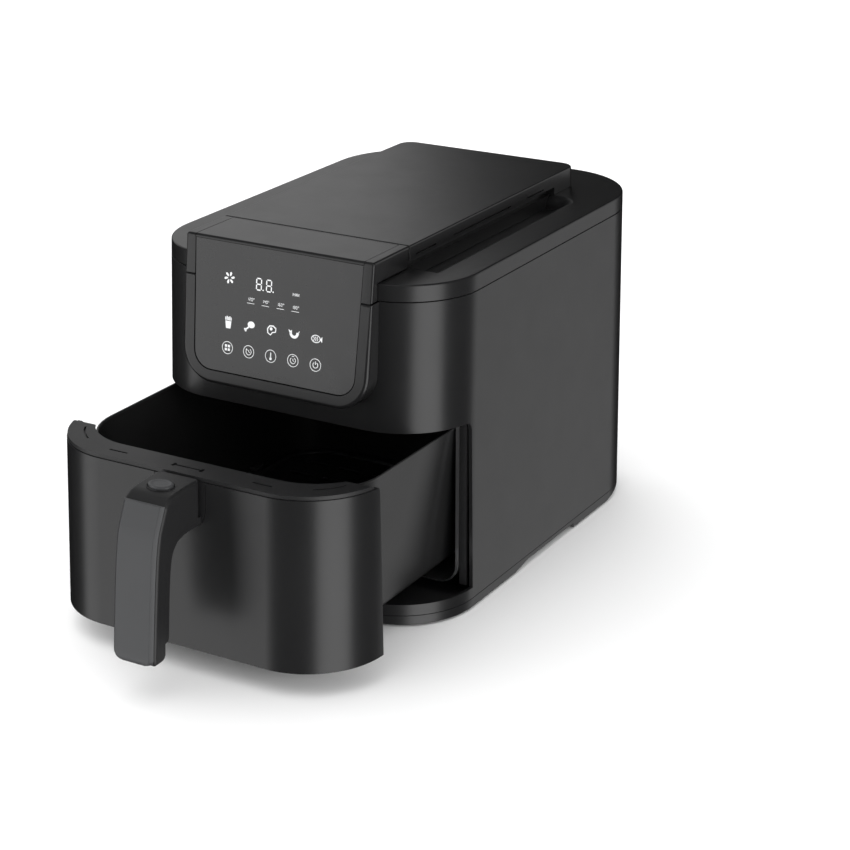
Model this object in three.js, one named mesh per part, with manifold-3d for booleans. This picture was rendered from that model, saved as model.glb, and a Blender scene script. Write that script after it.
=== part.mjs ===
// A drawer air fryer with a raised deck and a touch panel, in millimetres: +X right, -Y to its front, +Z up.
// The drawer stands part of the way out. Every piece is its own closed mesh.
import * as THREE from "three";
import { mergeVertices } from "three/addons/utils/BufferGeometryUtils.js";
import Module from "manifold-3d";

const wasm = await Module();
wasm.setup();

// ---------------------------------------------------------------- driving dimensions
// Housing plan at the height of its top edge: the front and rear are Y values.
const HALF_WIDTH = 130;
const FRONT_Y = -210.5;
const REAR_Y = 150;
const FRONT_CORNER = 60;
const REAR_CORNER = 72;
// The walls lean outward towards the floor, by this share of the height.
const SIDE_LEAN = 0.0117;
const FRONT_LEAN = 0.049;
// Heights above the counter.
const FOOT_HEIGHT = 1.5;
const ARCH_HEIGHT = 5.5;
const BASE_SEAM = 9;
const SILL_TOP = 18;
const MOUTH_TOP = 153;
const CAP_SEAM = 252;
const BODY_TOP = 265;
const DECK_TOP = 282;
// Walls and clearances.
const WALL = 3;
const JOINT_GAP = 0.3;
const DRAWER_GAP = 1.3;
// Straight steps in an eighth of a turn.
const ARC_STEPS = 6;

// Mouth of the drawer in the housing, and how far out the drawer stands.
const MOUTH_REAR_Y = -161;
const MOUTH_CORNER = 7;
const DRAWER_PULL = 131;

// Raised deck and its side channels.
const DECK_HALF = 81.5;
const DECK_SPLIT_Y = -167;
const DECK_REAR_Y = 105.5;
const DECK_CORNER = 12;
const DECK_LIP_Z = DECK_TOP - 10.4;
const DECK_WEB_HALF = 74;
const CHANNEL_IN = 78;
const CHANNEL_OUT = 102;
const CHANNEL_REAR_Y = 66;
const CHANNEL_FLOOR_Z = 255;

// Control panel: a tilted plane, its glass and its frame.
const PANEL_TOP_Y = -216.6;
const PANEL_SLOPE = 0.125;
const BEZEL_FOOT_Z = 171;
const BEZEL_CORNER = 27;
const GLASS_HALF_TOP = 73;
const GLASS_HALF_FOOT = 70.7;
const GLASS_FOOT_Z = 181.5;
const GLASS_TOP_Z = DECK_TOP - 2.8;
const GLASS_CORNER = 15;
const GLASS_THICK = 2.4;
const GLASS_RECESS = 0.4;
const INSERT_THICK = 2.6;

// Cooking chamber liner and the hot-air head above it.
const LINER_HALF = HALF_WIDTH - 10.2;
const LINER_SHEET = 1;
const LINER_FRONT_Y = -164.5;
const LINER_REAR_Y = 113;
const LINER_CORNER = 15;
const LINER_REAR_CORNER = 52.3;
const RUNNER_X = 80;
const RUNNER_WIDTH = 12;
const HEAD_Y = -40;
const DOME_RADIUS = 102;
const DOME_TOP_Z = 205;
const COIL_Z = 168;
const COIL_RADIUS = 3.3;
const FAN_RADIUS = 60;
const SHAFT_RADIUS = 4;
const MOTOR_RADIUS = 30;
const MOTOR_FOOT_Z = 222;
const MOTOR_TOP_Z = 250;

// Drawer front, trim and basket, in the closed position.
const FRONT_PANEL = 3.5;
const TRIM_THICK = 2.9;
const BASKET_RIM_HALF = LINER_HALF - 2.3;
const BASKET_FRONT_Y = -190.5;
const BASKET_REAR_Y = 111;
const BASKET_CORNER = 50;
const BASKET_RIM_Z = MOUTH_TOP - 6;
const BASKET_FOOT_Z = 29;
const BASKET_WALL = 1;
const BASKET_TAPER = 0.107;
const RIM_FLANGE = 1.2;
const PLATE_Z = 46.5;
const PLATE_THICK = 1.6;

// Handle, release button and latch.
const HANDLE_HALF = 18;
const HANDLE_FOOT_Z = 31;
const BRACKET_HALF = 22;
const BRACKET_FOOT_Z = 112;
const BRACKET_CORNER = 16;
const FACE_THICK = 2.5;
const BUTTON_Y = -238;
const BUTTON_HALF_X = 9.8;
const BUTTON_HALF_Y = 7.7;
const BUTTON_TOP_Z = 152;
const BUTTON_FOOT_Z = BUTTON_TOP_Z - 6;
const BUTTON_POCKET_Z = 141;
const TONGUE_HALF = 5;
const TONGUE_LOW_Z = 129;
const TONGUE_HIGH_Z = 135.7;
const TONGUE_TIP_Y = -191.5;

// ---------------------------------------------------------------- solids
const X = new THREE.Vector3(1, 0, 0);
const Y = new THREE.Vector3(0, 1, 0);
const Z = new THREE.Vector3(0, 0, 1);

function solid(geometry) {
  const bare = geometry.index ? geometry.toNonIndexed() : geometry.clone();
  bare.deleteAttribute("normal");
  bare.deleteAttribute("uv");
  const merged = mergeVertices(bare, 1e-4);
  const triVerts = new Uint32Array(merged.index.array);
  const vertProperties = merged.attributes.position.array;
  return new wasm.Manifold(new wasm.Mesh({ numProp: 3, vertProperties, triVerts }));
}

function geometryOf(made) {
  const mesh = made.getMesh();
  const geometry = new THREE.BufferGeometry();
  const points = new Float32Array(mesh.numVert * 3);
  for (let i = 0; i < mesh.numVert; i++) {
    points.set(mesh.vertProperties.subarray(i * mesh.numProp, i * mesh.numProp + 3), i * 3);
  }
  geometry.setAttribute("position", new THREE.BufferAttribute(points, 3));
  geometry.setIndex(new THREE.BufferAttribute(mesh.triVerts, 1));
  return geometry;
}

// Moves every point of a solid by a rule, such as a draft.
function reshape(made, rule) {
  const geometry = geometryOf(made);
  const position = geometry.attributes.position;
  const point = new THREE.Vector3();
  for (let i = 0; i < position.count; i++) {
    rule(point.fromBufferAttribute(position, i));
    position.setXYZ(i, point.x, point.y, point.z);
  }
  return solid(geometry);
}

// The housing's draft: sides, rear and front spread towards the floor.
function lean(made) {
  return reshape(made, (p) => {
    const drop = BODY_TOP - p.z;
    const share = (p.y - FRONT_Y) / (REAR_Y - FRONT_Y);
    p.x *= 1 + (SIDE_LEAN * drop) / HALF_WIDTH;
    p.y += drop * (share * SIDE_LEAN - (1 - share) * FRONT_LEAN);
  });
}

function extrude(shape, depth, steps = ARC_STEPS) {
  return new THREE.ExtrudeGeometry(shape, { depth, bevelEnabled: false, curveSegments: steps });
}

function prism(shape, low, high, steps) {
  return solid(extrude(shape, high - low, steps).translate(0, 0, low));
}

// A shape drawn in Y and Z, drawn out along X, and one drawn in X and Z, drawn out along Y.
function slabX(shape, low, high, steps) {
  const turn = new THREE.Matrix4().makeBasis(Y, Z, X);
  return solid(extrude(shape, high - low, steps).applyMatrix4(turn).translate(low, 0, 0));
}

function slabY(shape, low, high, steps) {
  const turn = new THREE.Matrix4().makeBasis(X, Z, Y.clone().negate());
  return solid(extrude(shape, high - low, steps).applyMatrix4(turn).translate(0, high, 0));
}

function box(x0, x1, y0, y1, z0, z1) {
  const geometry = new THREE.BoxGeometry(x1 - x0, y1 - y0, z1 - z0);
  return solid(geometry.translate((x0 + x1) / 2, (y0 + y1) / 2, (z0 + z1) / 2));
}

// Two distances from the middle, as a low and a high X on one side.
function mirrored(side, inner, outer) {
  return [Math.min(side * inner, side * outer), Math.max(side * inner, side * outer)];
}

function rod(radius, x, y, z0, z1, steps = 24) {
  const geometry = new THREE.CylinderGeometry(radius, radius, z1 - z0, steps).rotateX(Math.PI / 2);
  return solid(geometry.translate(x, y, (z0 + z1) / 2));
}

function rodY(radius, x, z, y0, y1, steps = 24) {
  return solid(new THREE.CylinderGeometry(radius, radius, y1 - y0, steps).translate(x, (y0 + y1) / 2, z));
}

// A turned ring or disc about an upright axis: the profile is a closed list of [radius, height].
function turned(profile, x, y, steps = 40) {
  const points = [...profile, profile[0]].map(([radius, height]) => new THREE.Vector2(radius, height));
  return solid(new THREE.LatheGeometry(points, steps).rotateX(Math.PI / 2).translate(x, y, 0));
}

function polygon(points) {
  return new THREE.Shape(points.map(([a, b]) => new THREE.Vector2(a, b)));
}

// A rectangle with its own radius at each corner: low left, low right, high right, high left.
function rounded(a0, a1, b0, b1, [r1, r2, r3, r4]) {
  const shape = new THREE.Shape();
  const corner = (a, b, radius, start) => {
    if (radius > 0) shape.absarc(a, b, radius, start, start + Math.PI / 2, false);
    else shape.lineTo(a, b);
  };
  shape.moveTo(a0, b0 + r1);
  corner(a0 + r1, b0 + r1, r1, Math.PI);
  corner(a1 - r2, b0 + r2, r2, 1.5 * Math.PI);
  corner(a1 - r3, b1 - r3, r3, 0);
  corner(a0 + r4, b1 - r4, r4, 0.5 * Math.PI);
  shape.closePath();
  return shape;
}

// The housing's plan, drawn in by an inset.
function plan(inset) {
  const front = FRONT_CORNER - inset;
  const rear = REAR_CORNER - inset;
  const half = HALF_WIDTH - inset;
  return rounded(-half, half, FRONT_Y + inset, REAR_Y - inset, [front, front, rear, rear]);
}

// ---------------------------------------------------------------- materials
function finish(color, roughness, metalness = 0) {
  return new THREE.MeshStandardMaterial({ color, roughness, metalness });
}
const shellPlastic = finish(0x3a3b3c, 0.42);
const darkPlastic = finish(0x1d1e1f, 0.5);
const greyPlastic = finish(0x55585a, 0.5);
const glassBlack = finish(0x2a2c2d, 0.15);
const nonStick = finish(0x101010, 0.35, 0.2);
const sheetSteel = finish(0x9a9c9e, 0.35, 0.9);
const castAluminium = finish(0xb4b6b8, 0.4, 0.9);
const rubber = finish(0x151515, 0.9);
const boardGreen = finish(0x1f5a34, 0.6);
const copperBrown = finish(0x7a4a2a, 0.4, 0.8);

const housing = new THREE.Group();
const drawer = new THREE.Group();
drawer.position.y = -DRAWER_PULL;
const fryer = new THREE.Group();
fryer.add(housing, drawer);

function add(group, name, made, material) {
  const geometry = geometryOf(made).toNonIndexed();
  geometry.computeVertexNormals();
  const mesh = new THREE.Mesh(geometry, material);
  mesh.name = name;
  group.add(mesh);
}

// ---------------------------------------------------------------- housing shell, base and feet
const bodyFrontY = (z) => FRONT_Y - FRONT_LEAN * (BODY_TOP - z);
const panelY = (z) => PANEL_TOP_Y - PANEL_SLOPE * (DECK_TOP - z);
const SCREW_X = HALF_WIDTH - WALL - 7;
const SCREW_Y = [-80, 60];
const SCREW_SHANK = 1.8;
const SCREW_HOLE = 2.1;
const BOSS_HALF = 6;
const GLAND_X = -40;
const GLAND_Z = 35;
const GLAND_RADIUS = 8;
const VENT_HALF = 42;
const VENT_LOW_Z = 168;
const VENT_HIGH_Z = 232;

// Everything forward of an upright edge and between two heights, with the upper rear corner rounded.
function mouthBlock(rearY, low, high) {
  const shape = rounded(FRONT_Y - 60, rearY, low, high, [0, 0, MOUTH_CORNER, 0]);
  return slabX(shape, -HALF_WIDTH - 20, HALF_WIDTH + 20, 3);
}

function housingShell() {
  let made = prism(plan(0), BASE_SEAM + JOINT_GAP, CAP_SEAM - JOINT_GAP);
  made = made.subtract(prism(plan(WALL), 0, BODY_TOP));
  // The sill behind the front lip and the soffit under the control box.
  const front = box(-HALF_WIDTH, HALF_WIDTH, FRONT_Y - 1, LINER_FRONT_Y - 1, 0, BODY_TOP);
  const sill = prism(plan(WALL / 2), SILL_TOP - 2.5, SILL_TOP).intersect(front);
  const soffit = prism(plan(WALL / 2), MOUTH_TOP, MOUTH_TOP + 2.5).intersect(front);
  made = made.add(sill).add(soffit);
  // Screw bosses on the side walls, over the base.
  for (const side of [-1, 1]) {
    const [x0, x1] = mirrored(side, SCREW_X - BOSS_HALF + 1, HALF_WIDTH - WALL / 2);
    for (const y of SCREW_Y) {
      made = made.add(box(x0, x1, y - BOSS_HALF, y + BOSS_HALF, BASE_SEAM + JOINT_GAP, SILL_TOP - 1));
    }
  }
  made = made.subtract(box(-66, 66, FRONT_Y - 5, FRONT_Y + WALL + 5, GLASS_FOOT_Z + 6, CAP_SEAM));
  made = made.subtract(box(-VENT_HALF, VENT_HALF, REAR_Y - 10, REAR_Y + 10, VENT_LOW_Z, VENT_HIGH_Z));
  made = lean(made).subtract(mouthBlock(MOUTH_REAR_Y, SILL_TOP, MOUTH_TOP));
  for (const side of [-1, 1]) {
    for (const y of SCREW_Y) made = made.subtract(rod(SCREW_HOLE, side * SCREW_X, y, 0, SILL_TOP + 1, 12));
  }
  return made.subtract(rodY(GLAND_RADIUS + JOINT_GAP, GLAND_X, GLAND_Z, REAR_Y - 20, REAR_Y + 20));
}
add(housing, "housing_shell", housingShell(), shellPlastic);

const FOOT_X = 85;
const FOOT_Y = [-150, 45];
const FRONT_PAD_REAR_Y = -95;
const REAR_PAD = [15, 72];

function basePlate() {
  let made = prism(plan(0), FOOT_HEIGHT, BASE_SEAM);
  const arch = (y0, y1) => box(-HALF_WIDTH - 9, HALF_WIDTH + 9, y0, y1, 0, ARCH_HEIGHT);
  made = made.subtract(arch(FRONT_PAD_REAR_Y, REAR_PAD[0])).subtract(arch(REAR_PAD[1], REAR_Y + 9));
  made = lean(made);
  for (const side of [-1, 1]) {
    for (const y of SCREW_Y) {
      made = made.add(rod(6.5, side * SCREW_X, y, ARCH_HEIGHT - 3, ARCH_HEIGHT + 1, 20));
      made = made.subtract(rod(4.3, side * SCREW_X, y, 0, ARCH_HEIGHT + 0.6, 16));
      made = made.subtract(rod(SCREW_HOLE, side * SCREW_X, y, 0, BASE_SEAM + 1, 12));
    }
    for (const y of FOOT_Y) made = made.subtract(rod(5.3, side * FOOT_X, y, 0, 5, 16));
  }
  return made;
}
add(housing, "base_plate", basePlate(), shellPlastic);

const corners = [["front_left", -1, 0], ["front_right", 1, 0], ["rear_left", -1, 1], ["rear_right", 1, 1]];
for (const [place, side, row] of corners) {
  const disc = rod(13, side * FOOT_X, FOOT_Y[row], 0, FOOT_HEIGHT - JOINT_GAP);
  const foot = disc.add(rod(5, side * FOOT_X, FOOT_Y[row], 0.5, 4.5, 16));
  add(housing, "foot_" + place, foot, rubber);
  const head = rod(4, side * SCREW_X, SCREW_Y[row], ARCH_HEIGHT - 2, ARCH_HEIGHT + 0.3, 16);
  const screw = head.add(rod(SCREW_SHANK, side * SCREW_X, SCREW_Y[row], ARCH_HEIGHT, SILL_TOP - 2, 12));
  add(housing, "base_screw_" + place, screw, sheetSteel);
}

// ---------------------------------------------------------------- top cover and raised deck
const CHANNEL_RIM = 2.5;
const CHANNEL_CORNER = 11;

function topCover() {
  let made = prism(plan(0), CAP_SEAM + JOINT_GAP, BODY_TOP);
  made = made.subtract(prism(plan(WALL), 0, BODY_TOP - WALL));
  for (const side of [-1, 1]) {
    const [x0, x1] = mirrored(side, CHANNEL_IN - CHANNEL_RIM, CHANNEL_OUT + CHANNEL_RIM);
    const rear = CHANNEL_REAR_Y + CHANNEL_RIM;
    made = made.add(box(x0, x1, DECK_SPLIT_Y - CHANNEL_RIM, rear, CHANNEL_FLOOR_Z - 2, BODY_TOP - 1));
    const [a0, a1] = mirrored(side, CHANNEL_IN, CHANNEL_OUT);
    const ends = side > 0 ? [0, 0, CHANNEL_CORNER, 0] : [0, 0, 0, CHANNEL_CORNER];
    const shape = rounded(a0, a1, DECK_SPLIT_Y + 1, CHANNEL_REAR_Y, ends);
    made = made.subtract(prism(shape, CHANNEL_FLOOR_Z, BODY_TOP + 5, 3));
  }
  // Well over the motor, under the deck.
  made = made.subtract(box(-62, 62, DECK_SPLIT_Y + 15, DECK_REAR_Y - 18, CAP_SEAM, BODY_TOP + 1));
  return lean(made);
}
add(housing, "top_cover", topCover(), shellPlastic);

// Air slots along each flank of the deck, as pairs of Y.
const FLANK_SLOTS = [[-158, -128], [-101, -9], [18, 47]];

function deckPanel() {
  const low = BODY_TOP + JOINT_GAP;
  const front = DECK_SPLIT_Y + JOINT_GAP;
  const outline = rounded(-DECK_HALF, DECK_HALF, front, DECK_REAR_Y, [0, 0, DECK_CORNER, DECK_CORNER]);
  let made = prism(outline, low, DECK_TOP);
  for (const side of [-1, 1]) {
    const [x0, x1] = mirrored(side, DECK_WEB_HALF, DECK_HALF + 1);
    made = made.subtract(box(x0, x1, front - 1, CHANNEL_REAR_Y, low - 1, DECK_LIP_Z));
    // Three narrow slots along the flank, just over the lip.
    const flank = side * (DECK_HALF - 1);
    for (const [y0, y1] of FLANK_SLOTS) {
      made = made.subtract(box(flank - 1.6, flank + 1.6, y0, y1, DECK_LIP_Z + 2, DECK_LIP_Z + 3));
    }
  }
  const inside = DECK_WEB_HALF - WALL;
  return made.subtract(box(-inside, inside, front + WALL, DECK_REAR_Y - 8, low - 1, DECK_TOP - WALL));
}
add(housing, "deck_panel", deckPanel(), shellPlastic);

// ---------------------------------------------------------------- control panel
// The space in front of a plane that lies a given depth behind the panel's surface.
function beforePanel(depth) {
  const low = BEZEL_FOOT_Z - 40;
  const high = DECK_TOP + 20;
  const far = PANEL_TOP_Y - 80;
  const sideView = [[far, low], [panelY(low) + depth, low], [panelY(high) + depth, high], [far, high]];
  return slabX(polygon(sideView), -150, 150);
}

// A shape in X and Z made into a plate that follows the panel's tilt between two depths.
function panelPlate(shape, from, to, steps) {
  const block = slabY(shape, PANEL_TOP_Y - 30, FRONT_Y + 40, steps);
  return block.intersect(beforePanel(to)).subtract(beforePanel(from));
}

// Outline of the glass opening, drawn in by an inset: slightly narrower at its foot.
function glassShape(inset, top) {
  const r = GLASS_CORNER - inset;
  const foot = GLASS_HALF_FOOT - inset;
  const head = GLASS_HALF_TOP - inset;
  const low = GLASS_FOOT_Z + inset;
  const shape = new THREE.Shape();
  shape.moveTo(head, top);
  shape.lineTo(-head, top);
  shape.lineTo(-foot, low + r);
  shape.absarc(-foot + r, low + r, r, Math.PI, 1.5 * Math.PI, false);
  shape.absarc(foot - r, low + r, r, 1.5 * Math.PI, 2 * Math.PI, false);
  shape.closePath();
  return shape;
}

function panelBezel() {
  const lowCorners = [BEZEL_CORNER, BEZEL_CORNER, 0, 0];
  const outline = rounded(-DECK_HALF, DECK_HALF, BEZEL_FOOT_Z, CAP_SEAM - JOINT_GAP, lowCorners);
  let made = slabY(outline, PANEL_TOP_Y - 40, FRONT_Y + 10, 4).subtract(beforePanel(0));
  const low = BEZEL_FOOT_Z - 10;
  const back = polygon([
    [bodyFrontY(low) - JOINT_GAP, low],
    [FRONT_Y + 60, low],
    [FRONT_Y + 60, BODY_TOP],
    [bodyFrontY(BODY_TOP) - JOINT_GAP, BODY_TOP],
  ]);
  made = made.subtract(slabX(back, -150, 150));
  return made.subtract(slabY(glassShape(0, BODY_TOP), PANEL_TOP_Y - 60, FRONT_Y + 20, 3));
}
add(housing, "panel_bezel", panelBezel(), shellPlastic);

function hood() {
  const low = CAP_SEAM + JOINT_GAP;
  const back = DECK_SPLIT_Y - JOINT_GAP;
  let made = box(-DECK_HALF, DECK_HALF, PANEL_TOP_Y - 20, back, low, DECK_TOP).subtract(beforePanel(0));
  made = made.subtract(box(-150, 150, FRONT_Y - 1.2, 0, 0, BODY_TOP + JOINT_GAP));
  made = made.subtract(box(-66, 66, PANEL_TOP_Y - 20, back - WALL, 0, DECK_TOP - INSERT_THICK - 2.5));
  // Seats for the glass in front and for the insert on top.
  const opening = slabY(glassShape(-JOINT_GAP, GLASS_TOP_Z + JOINT_GAP), PANEL_TOP_Y - 30, FRONT_Y + 40, 3);
  made = made.subtract(opening.intersect(beforePanel(GLASS_RECESS + GLASS_THICK + JOINT_GAP)));
  const seat = GLASS_HALF_TOP + JOINT_GAP;
  return made.subtract(box(-seat, seat, PANEL_TOP_Y - 20, back - 0.9, DECK_TOP - INSERT_THICK, DECK_TOP + 1));
}
add(housing, "hood", hood(), shellPlastic);

function hoodInsert() {
  const low = DECK_TOP - INSERT_THICK + JOINT_GAP;
  const made = box(-GLASS_HALF_TOP, GLASS_HALF_TOP, PANEL_TOP_Y - 5, DECK_SPLIT_Y - 1.5, low, DECK_TOP);
  return made.subtract(beforePanel(0));
}
add(housing, "hood_insert", hoodInsert(), shellPlastic);

const glass = panelPlate(glassShape(JOINT_GAP, GLASS_TOP_Z), GLASS_RECESS, GLASS_RECESS + GLASS_THICK, 3);
add(housing, "panel_glass", glass, glassBlack);

const DISPLAY = { left: -20, right: 5, low: 245, high: 261 };
const CARRIER_FROM = GLASS_RECESS + GLASS_THICK + JOINT_GAP;
const CARRIER_TO = CARRIER_FROM + 2;

function panelCarrier() {
  const outline = rounded(-63, 63, GLASS_FOOT_Z + 8, GLASS_TOP_Z - 8, [8, 8, 3, 3]);
  const window = rounded(DISPLAY.left, DISPLAY.right, DISPLAY.low, DISPLAY.high, [0, 0, 0, 0]);
  return panelPlate(outline, CARRIER_FROM, CARRIER_TO, 2).subtract(panelPlate(window, -5, CARRIER_TO + 5));
}
add(housing, "panel_carrier", panelCarrier(), darkPlastic);

const { left, right, low: displayLow, high: displayHigh } = DISPLAY;
const displayShape = rounded(left + 0.5, right - 0.5, displayLow + 0.5, displayHigh - 0.5, [0, 0, 0, 0]);
add(housing, "display_module", panelPlate(displayShape, CARRIER_FROM, CARRIER_TO), glassBlack);
const boardShape = rounded(-58, 58, GLASS_FOOT_Z + 14, GLASS_TOP_Z - 14, [2, 2, 2, 2]);
const BOARD_FROM = CARRIER_TO + JOINT_GAP;
add(housing, "display_board", panelPlate(boardShape, BOARD_FROM, BOARD_FROM + 1.6, 1), boardGreen);

function powerBoard() {
  const back = FRONT_Y + 12;
  let made = box(-58, 58, back, back + 1.6, MOUTH_TOP + 8, MOUTH_TOP + 78);
  made = made.add(box(-50, -28, back + 1, back + 18, MOUTH_TOP + 20, MOUTH_TOP + 46));
  made = made.add(box(20, 46, back + 1, back + 20, MOUTH_TOP + 24, MOUTH_TOP + 54));
  return made.add(rodY(7, -6, MOUTH_TOP + 30, back + 1, back + 16, 16));
}
add(housing, "power_board", powerBoard(), boardGreen);

// ---------------------------------------------------------------- cooking chamber
const LINER_FLOOR_Z = SILL_TOP + 0.6;
const LINER_CEILING_Z = MOUTH_TOP + 0.2;

function chamberLiner() {
  const outer = LINER_HALF + LINER_SHEET;
  const r = LINER_CORNER;
  const bend = 2;
  const outerCorners = [r + LINER_SHEET, r + LINER_SHEET, bend + LINER_SHEET, bend + LINER_SHEET];
  const outerShape = rounded(-outer, outer, LINER_FLOOR_Z, LINER_CEILING_Z + LINER_SHEET, outerCorners);
  const innerFloor = LINER_FLOOR_Z + LINER_SHEET;
  const innerShape = rounded(-LINER_HALF, LINER_HALF, innerFloor, LINER_CEILING_Z, [r, r, bend, bend]);
  const rear = LINER_REAR_CORNER;
  const outerRear = rear + LINER_SHEET;
  const outerRearY = LINER_REAR_Y + LINER_SHEET;
  const outerPlan = rounded(-outer, outer, LINER_FRONT_Y, outerRearY, [0, 0, outerRear, outerRear]);
  const innerPlan = rounded(-LINER_HALF, LINER_HALF, LINER_FRONT_Y - 5, LINER_REAR_Y, [0, 0, rear, rear]);
  let made = slabY(outerShape, LINER_FRONT_Y, REAR_Y, 3).intersect(prism(outerPlan, 0, BODY_TOP));
  const inside = slabY(innerShape, LINER_FRONT_Y - 5, REAR_Y, 3).intersect(prism(innerPlan, 0, BODY_TOP));
  made = made.subtract(inside);
  made = made.subtract(rod(DOME_RADIUS - 6, 0, HEAD_Y, LINER_CEILING_Z - 5, LINER_CEILING_Z + 9, 40));
  return made.subtract(rod(3.3, 60, LINER_REAR_Y - 20, LINER_CEILING_Z - 5, LINER_CEILING_Z + 9, 12));
}
add(housing, "chamber_liner", chamberLiner(), nonStick);

function mouthFrame() {
  const inner = LINER_HALF + LINER_SHEET + JOINT_GAP;
  const outer = HALF_WIDTH - WALL - JOINT_GAP;
  const top = LINER_CEILING_Z + LINER_SHEET + JOINT_GAP;
  const made = box(-outer, outer, MOUTH_REAR_Y, MOUTH_REAR_Y + 2.5, SILL_TOP + JOINT_GAP, top + 8);
  return made.subtract(box(-inner, inner, MOUTH_REAR_Y - 1, MOUTH_REAR_Y + 4, 0, top));
}
add(housing, "mouth_frame", mouthFrame(), darkPlastic);

const RUNNER_TOP_Z = BASKET_FOOT_Z - JOINT_GAP;
for (const [name, side] of [["left", -1], ["right", 1]]) {
  const x = side * RUNNER_X;
  const low = LINER_FLOOR_Z + LINER_SHEET + JOINT_GAP;
  const half = RUNNER_WIDTH / 2;
  const runner = box(x - half, x + half, LINER_FRONT_Y + 14, LINER_REAR_Y - 8, low, RUNNER_TOP_Z);
  add(housing, "drawer_runner_" + name, runner, darkPlastic);
}

const probe = rod(3, 60, LINER_REAR_Y - 20, LINER_CEILING_Z - 3, LINER_CEILING_Z + 6, 12).add(
  rod(6, 60, LINER_REAR_Y - 20, LINER_CEILING_Z + LINER_SHEET + JOINT_GAP, LINER_CEILING_Z + 7, 16));
add(housing, "temperature_probe", probe, sheetSteel);

function doorSwitch() {
  const low = LINER_CEILING_Z + LINER_SHEET + JOINT_GAP;
  const made = box(96, 116, LINER_FRONT_Y + 14, LINER_FRONT_Y + 26, low, low + 11);
  return made.add(box(104, 108, LINER_FRONT_Y + 11, LINER_FRONT_Y + 15, low + 4, low + 7));
}
add(housing, "door_switch", doorSwitch(), darkPlastic);

// ---------------------------------------------------------------- hot-air head
const DOME_FOOT_Z = LINER_CEILING_Z + LINER_SHEET + JOINT_GAP;
const DOME_SHEET = 1;

const dome = turned([
  [DOME_RADIUS + 8, DOME_FOOT_Z],
  [DOME_RADIUS + 8, DOME_FOOT_Z + DOME_SHEET],
  [DOME_RADIUS, DOME_FOOT_Z + DOME_SHEET],
  [DOME_RADIUS - 4, DOME_TOP_Z - 6],
  [DOME_RADIUS - 10, DOME_TOP_Z],
  [SHAFT_RADIUS + 3, DOME_TOP_Z],
  [SHAFT_RADIUS + 3, DOME_TOP_Z - DOME_SHEET],
  [DOME_RADIUS - 10.6, DOME_TOP_Z - DOME_SHEET],
  [DOME_RADIUS - 5.5, DOME_TOP_Z - 6.6],
  [DOME_RADIUS - DOME_SHEET, DOME_FOOT_Z],
], 0, HEAD_Y, 36);
add(housing, "heat_shield", dome, sheetSteel);

// The heating element: two level turns of tube, spiralling inward.
class Spiral extends THREE.Curve {
  getPoint(t, target = new THREE.Vector3()) {
    const turn = t * 4 * Math.PI;
    const radius = 86 - 22 * t;
    return target.set(radius * Math.cos(turn), HEAD_Y + radius * Math.sin(turn), COIL_Z);
  }
}
const coilSection = new THREE.Shape();
coilSection.absarc(0, 0, COIL_RADIUS, 0, 2 * Math.PI, false);
const coilSweep = { steps: 56, curveSegments: 4, extrudePath: new Spiral() };
const coil = new THREE.ExtrudeGeometry(coilSection, coilSweep);
add(housing, "heater_coil", solid(coil), copperBrown);

function elementGuard() {
  const z0 = LINER_CEILING_Z - 2.4;
  const z1 = LINER_CEILING_Z - 0.4;
  const ring = (radius, width) => {
    const inner = radius - width;
    return turned([[inner, z0], [radius, z0], [radius, z1], [inner, z1]], 0, HEAD_Y, 28);
  };
  let made = ring(DOME_RADIUS, 4).add(ring(66, 2.5)).add(ring(30, 3));
  for (let i = 0; i < 4; i++) {
    const spoke = new THREE.BoxGeometry(2 * DOME_RADIUS - 4, 2, z1 - z0).rotateZ((i * Math.PI) / 4);
    made = made.add(solid(spoke.translate(0, HEAD_Y, (z0 + z1) / 2)));
  }
  return made;
}
add(housing, "element_guard", elementGuard(), sheetSteel);

function bladedFan(radius, low, high, count) {
  let made = rod(10, 0, HEAD_Y, low, high, 24).add(rod(radius, 0, HEAD_Y, high - 1.5, high, 36));
  for (let i = 0; i < count; i++) {
    const blade = new THREE.BoxGeometry(radius - 20, 1.5, high - low).rotateZ(0.35);
    blade.translate(radius / 2 + 7, 0, (low + high) / 2).rotateZ((i * 2 * Math.PI) / count);
    made = made.add(solid(blade.translate(0, HEAD_Y, 0)));
  }
  return made.subtract(rod(SHAFT_RADIUS + JOINT_GAP, 0, HEAD_Y, low - 1, high + 1, 20));
}
const COOK_FAN_Z = [178, 192];
const COOL_FAN_Z = [208, 214];
add(housing, "cooking_fan", bladedFan(FAN_RADIUS, COOK_FAN_Z[0], COOK_FAN_Z[1], 9), castAluminium);
add(housing, "cooling_fan", bladedFan(FAN_RADIUS - 6, COOL_FAN_Z[0], COOL_FAN_Z[1], 7), darkPlastic);
add(housing, "motor_shaft", rod(SHAFT_RADIUS, 0, HEAD_Y, COOK_FAN_Z[0] - 8, MOTOR_TOP_Z + 4, 20), sheetSteel);
const nutTop = COOK_FAN_Z[0] - JOINT_GAP;
const nutBore = rod(SHAFT_RADIUS + JOINT_GAP, 0, HEAD_Y, 0, DECK_TOP, 20);
const nut = rod(7, 0, HEAD_Y, nutTop - 6, nutTop, 6).subtract(nutBore);
add(housing, "fan_nut", nut, sheetSteel);

function motor() {
  const can = rod(MOTOR_RADIUS, 0, HEAD_Y, MOTOR_FOOT_Z, MOTOR_TOP_Z, 32);
  return can.subtract(rod(SHAFT_RADIUS + 0.5, 0, HEAD_Y, 0, DECK_TOP, 20));
}
add(housing, "motor", motor(), sheetSteel);

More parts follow.
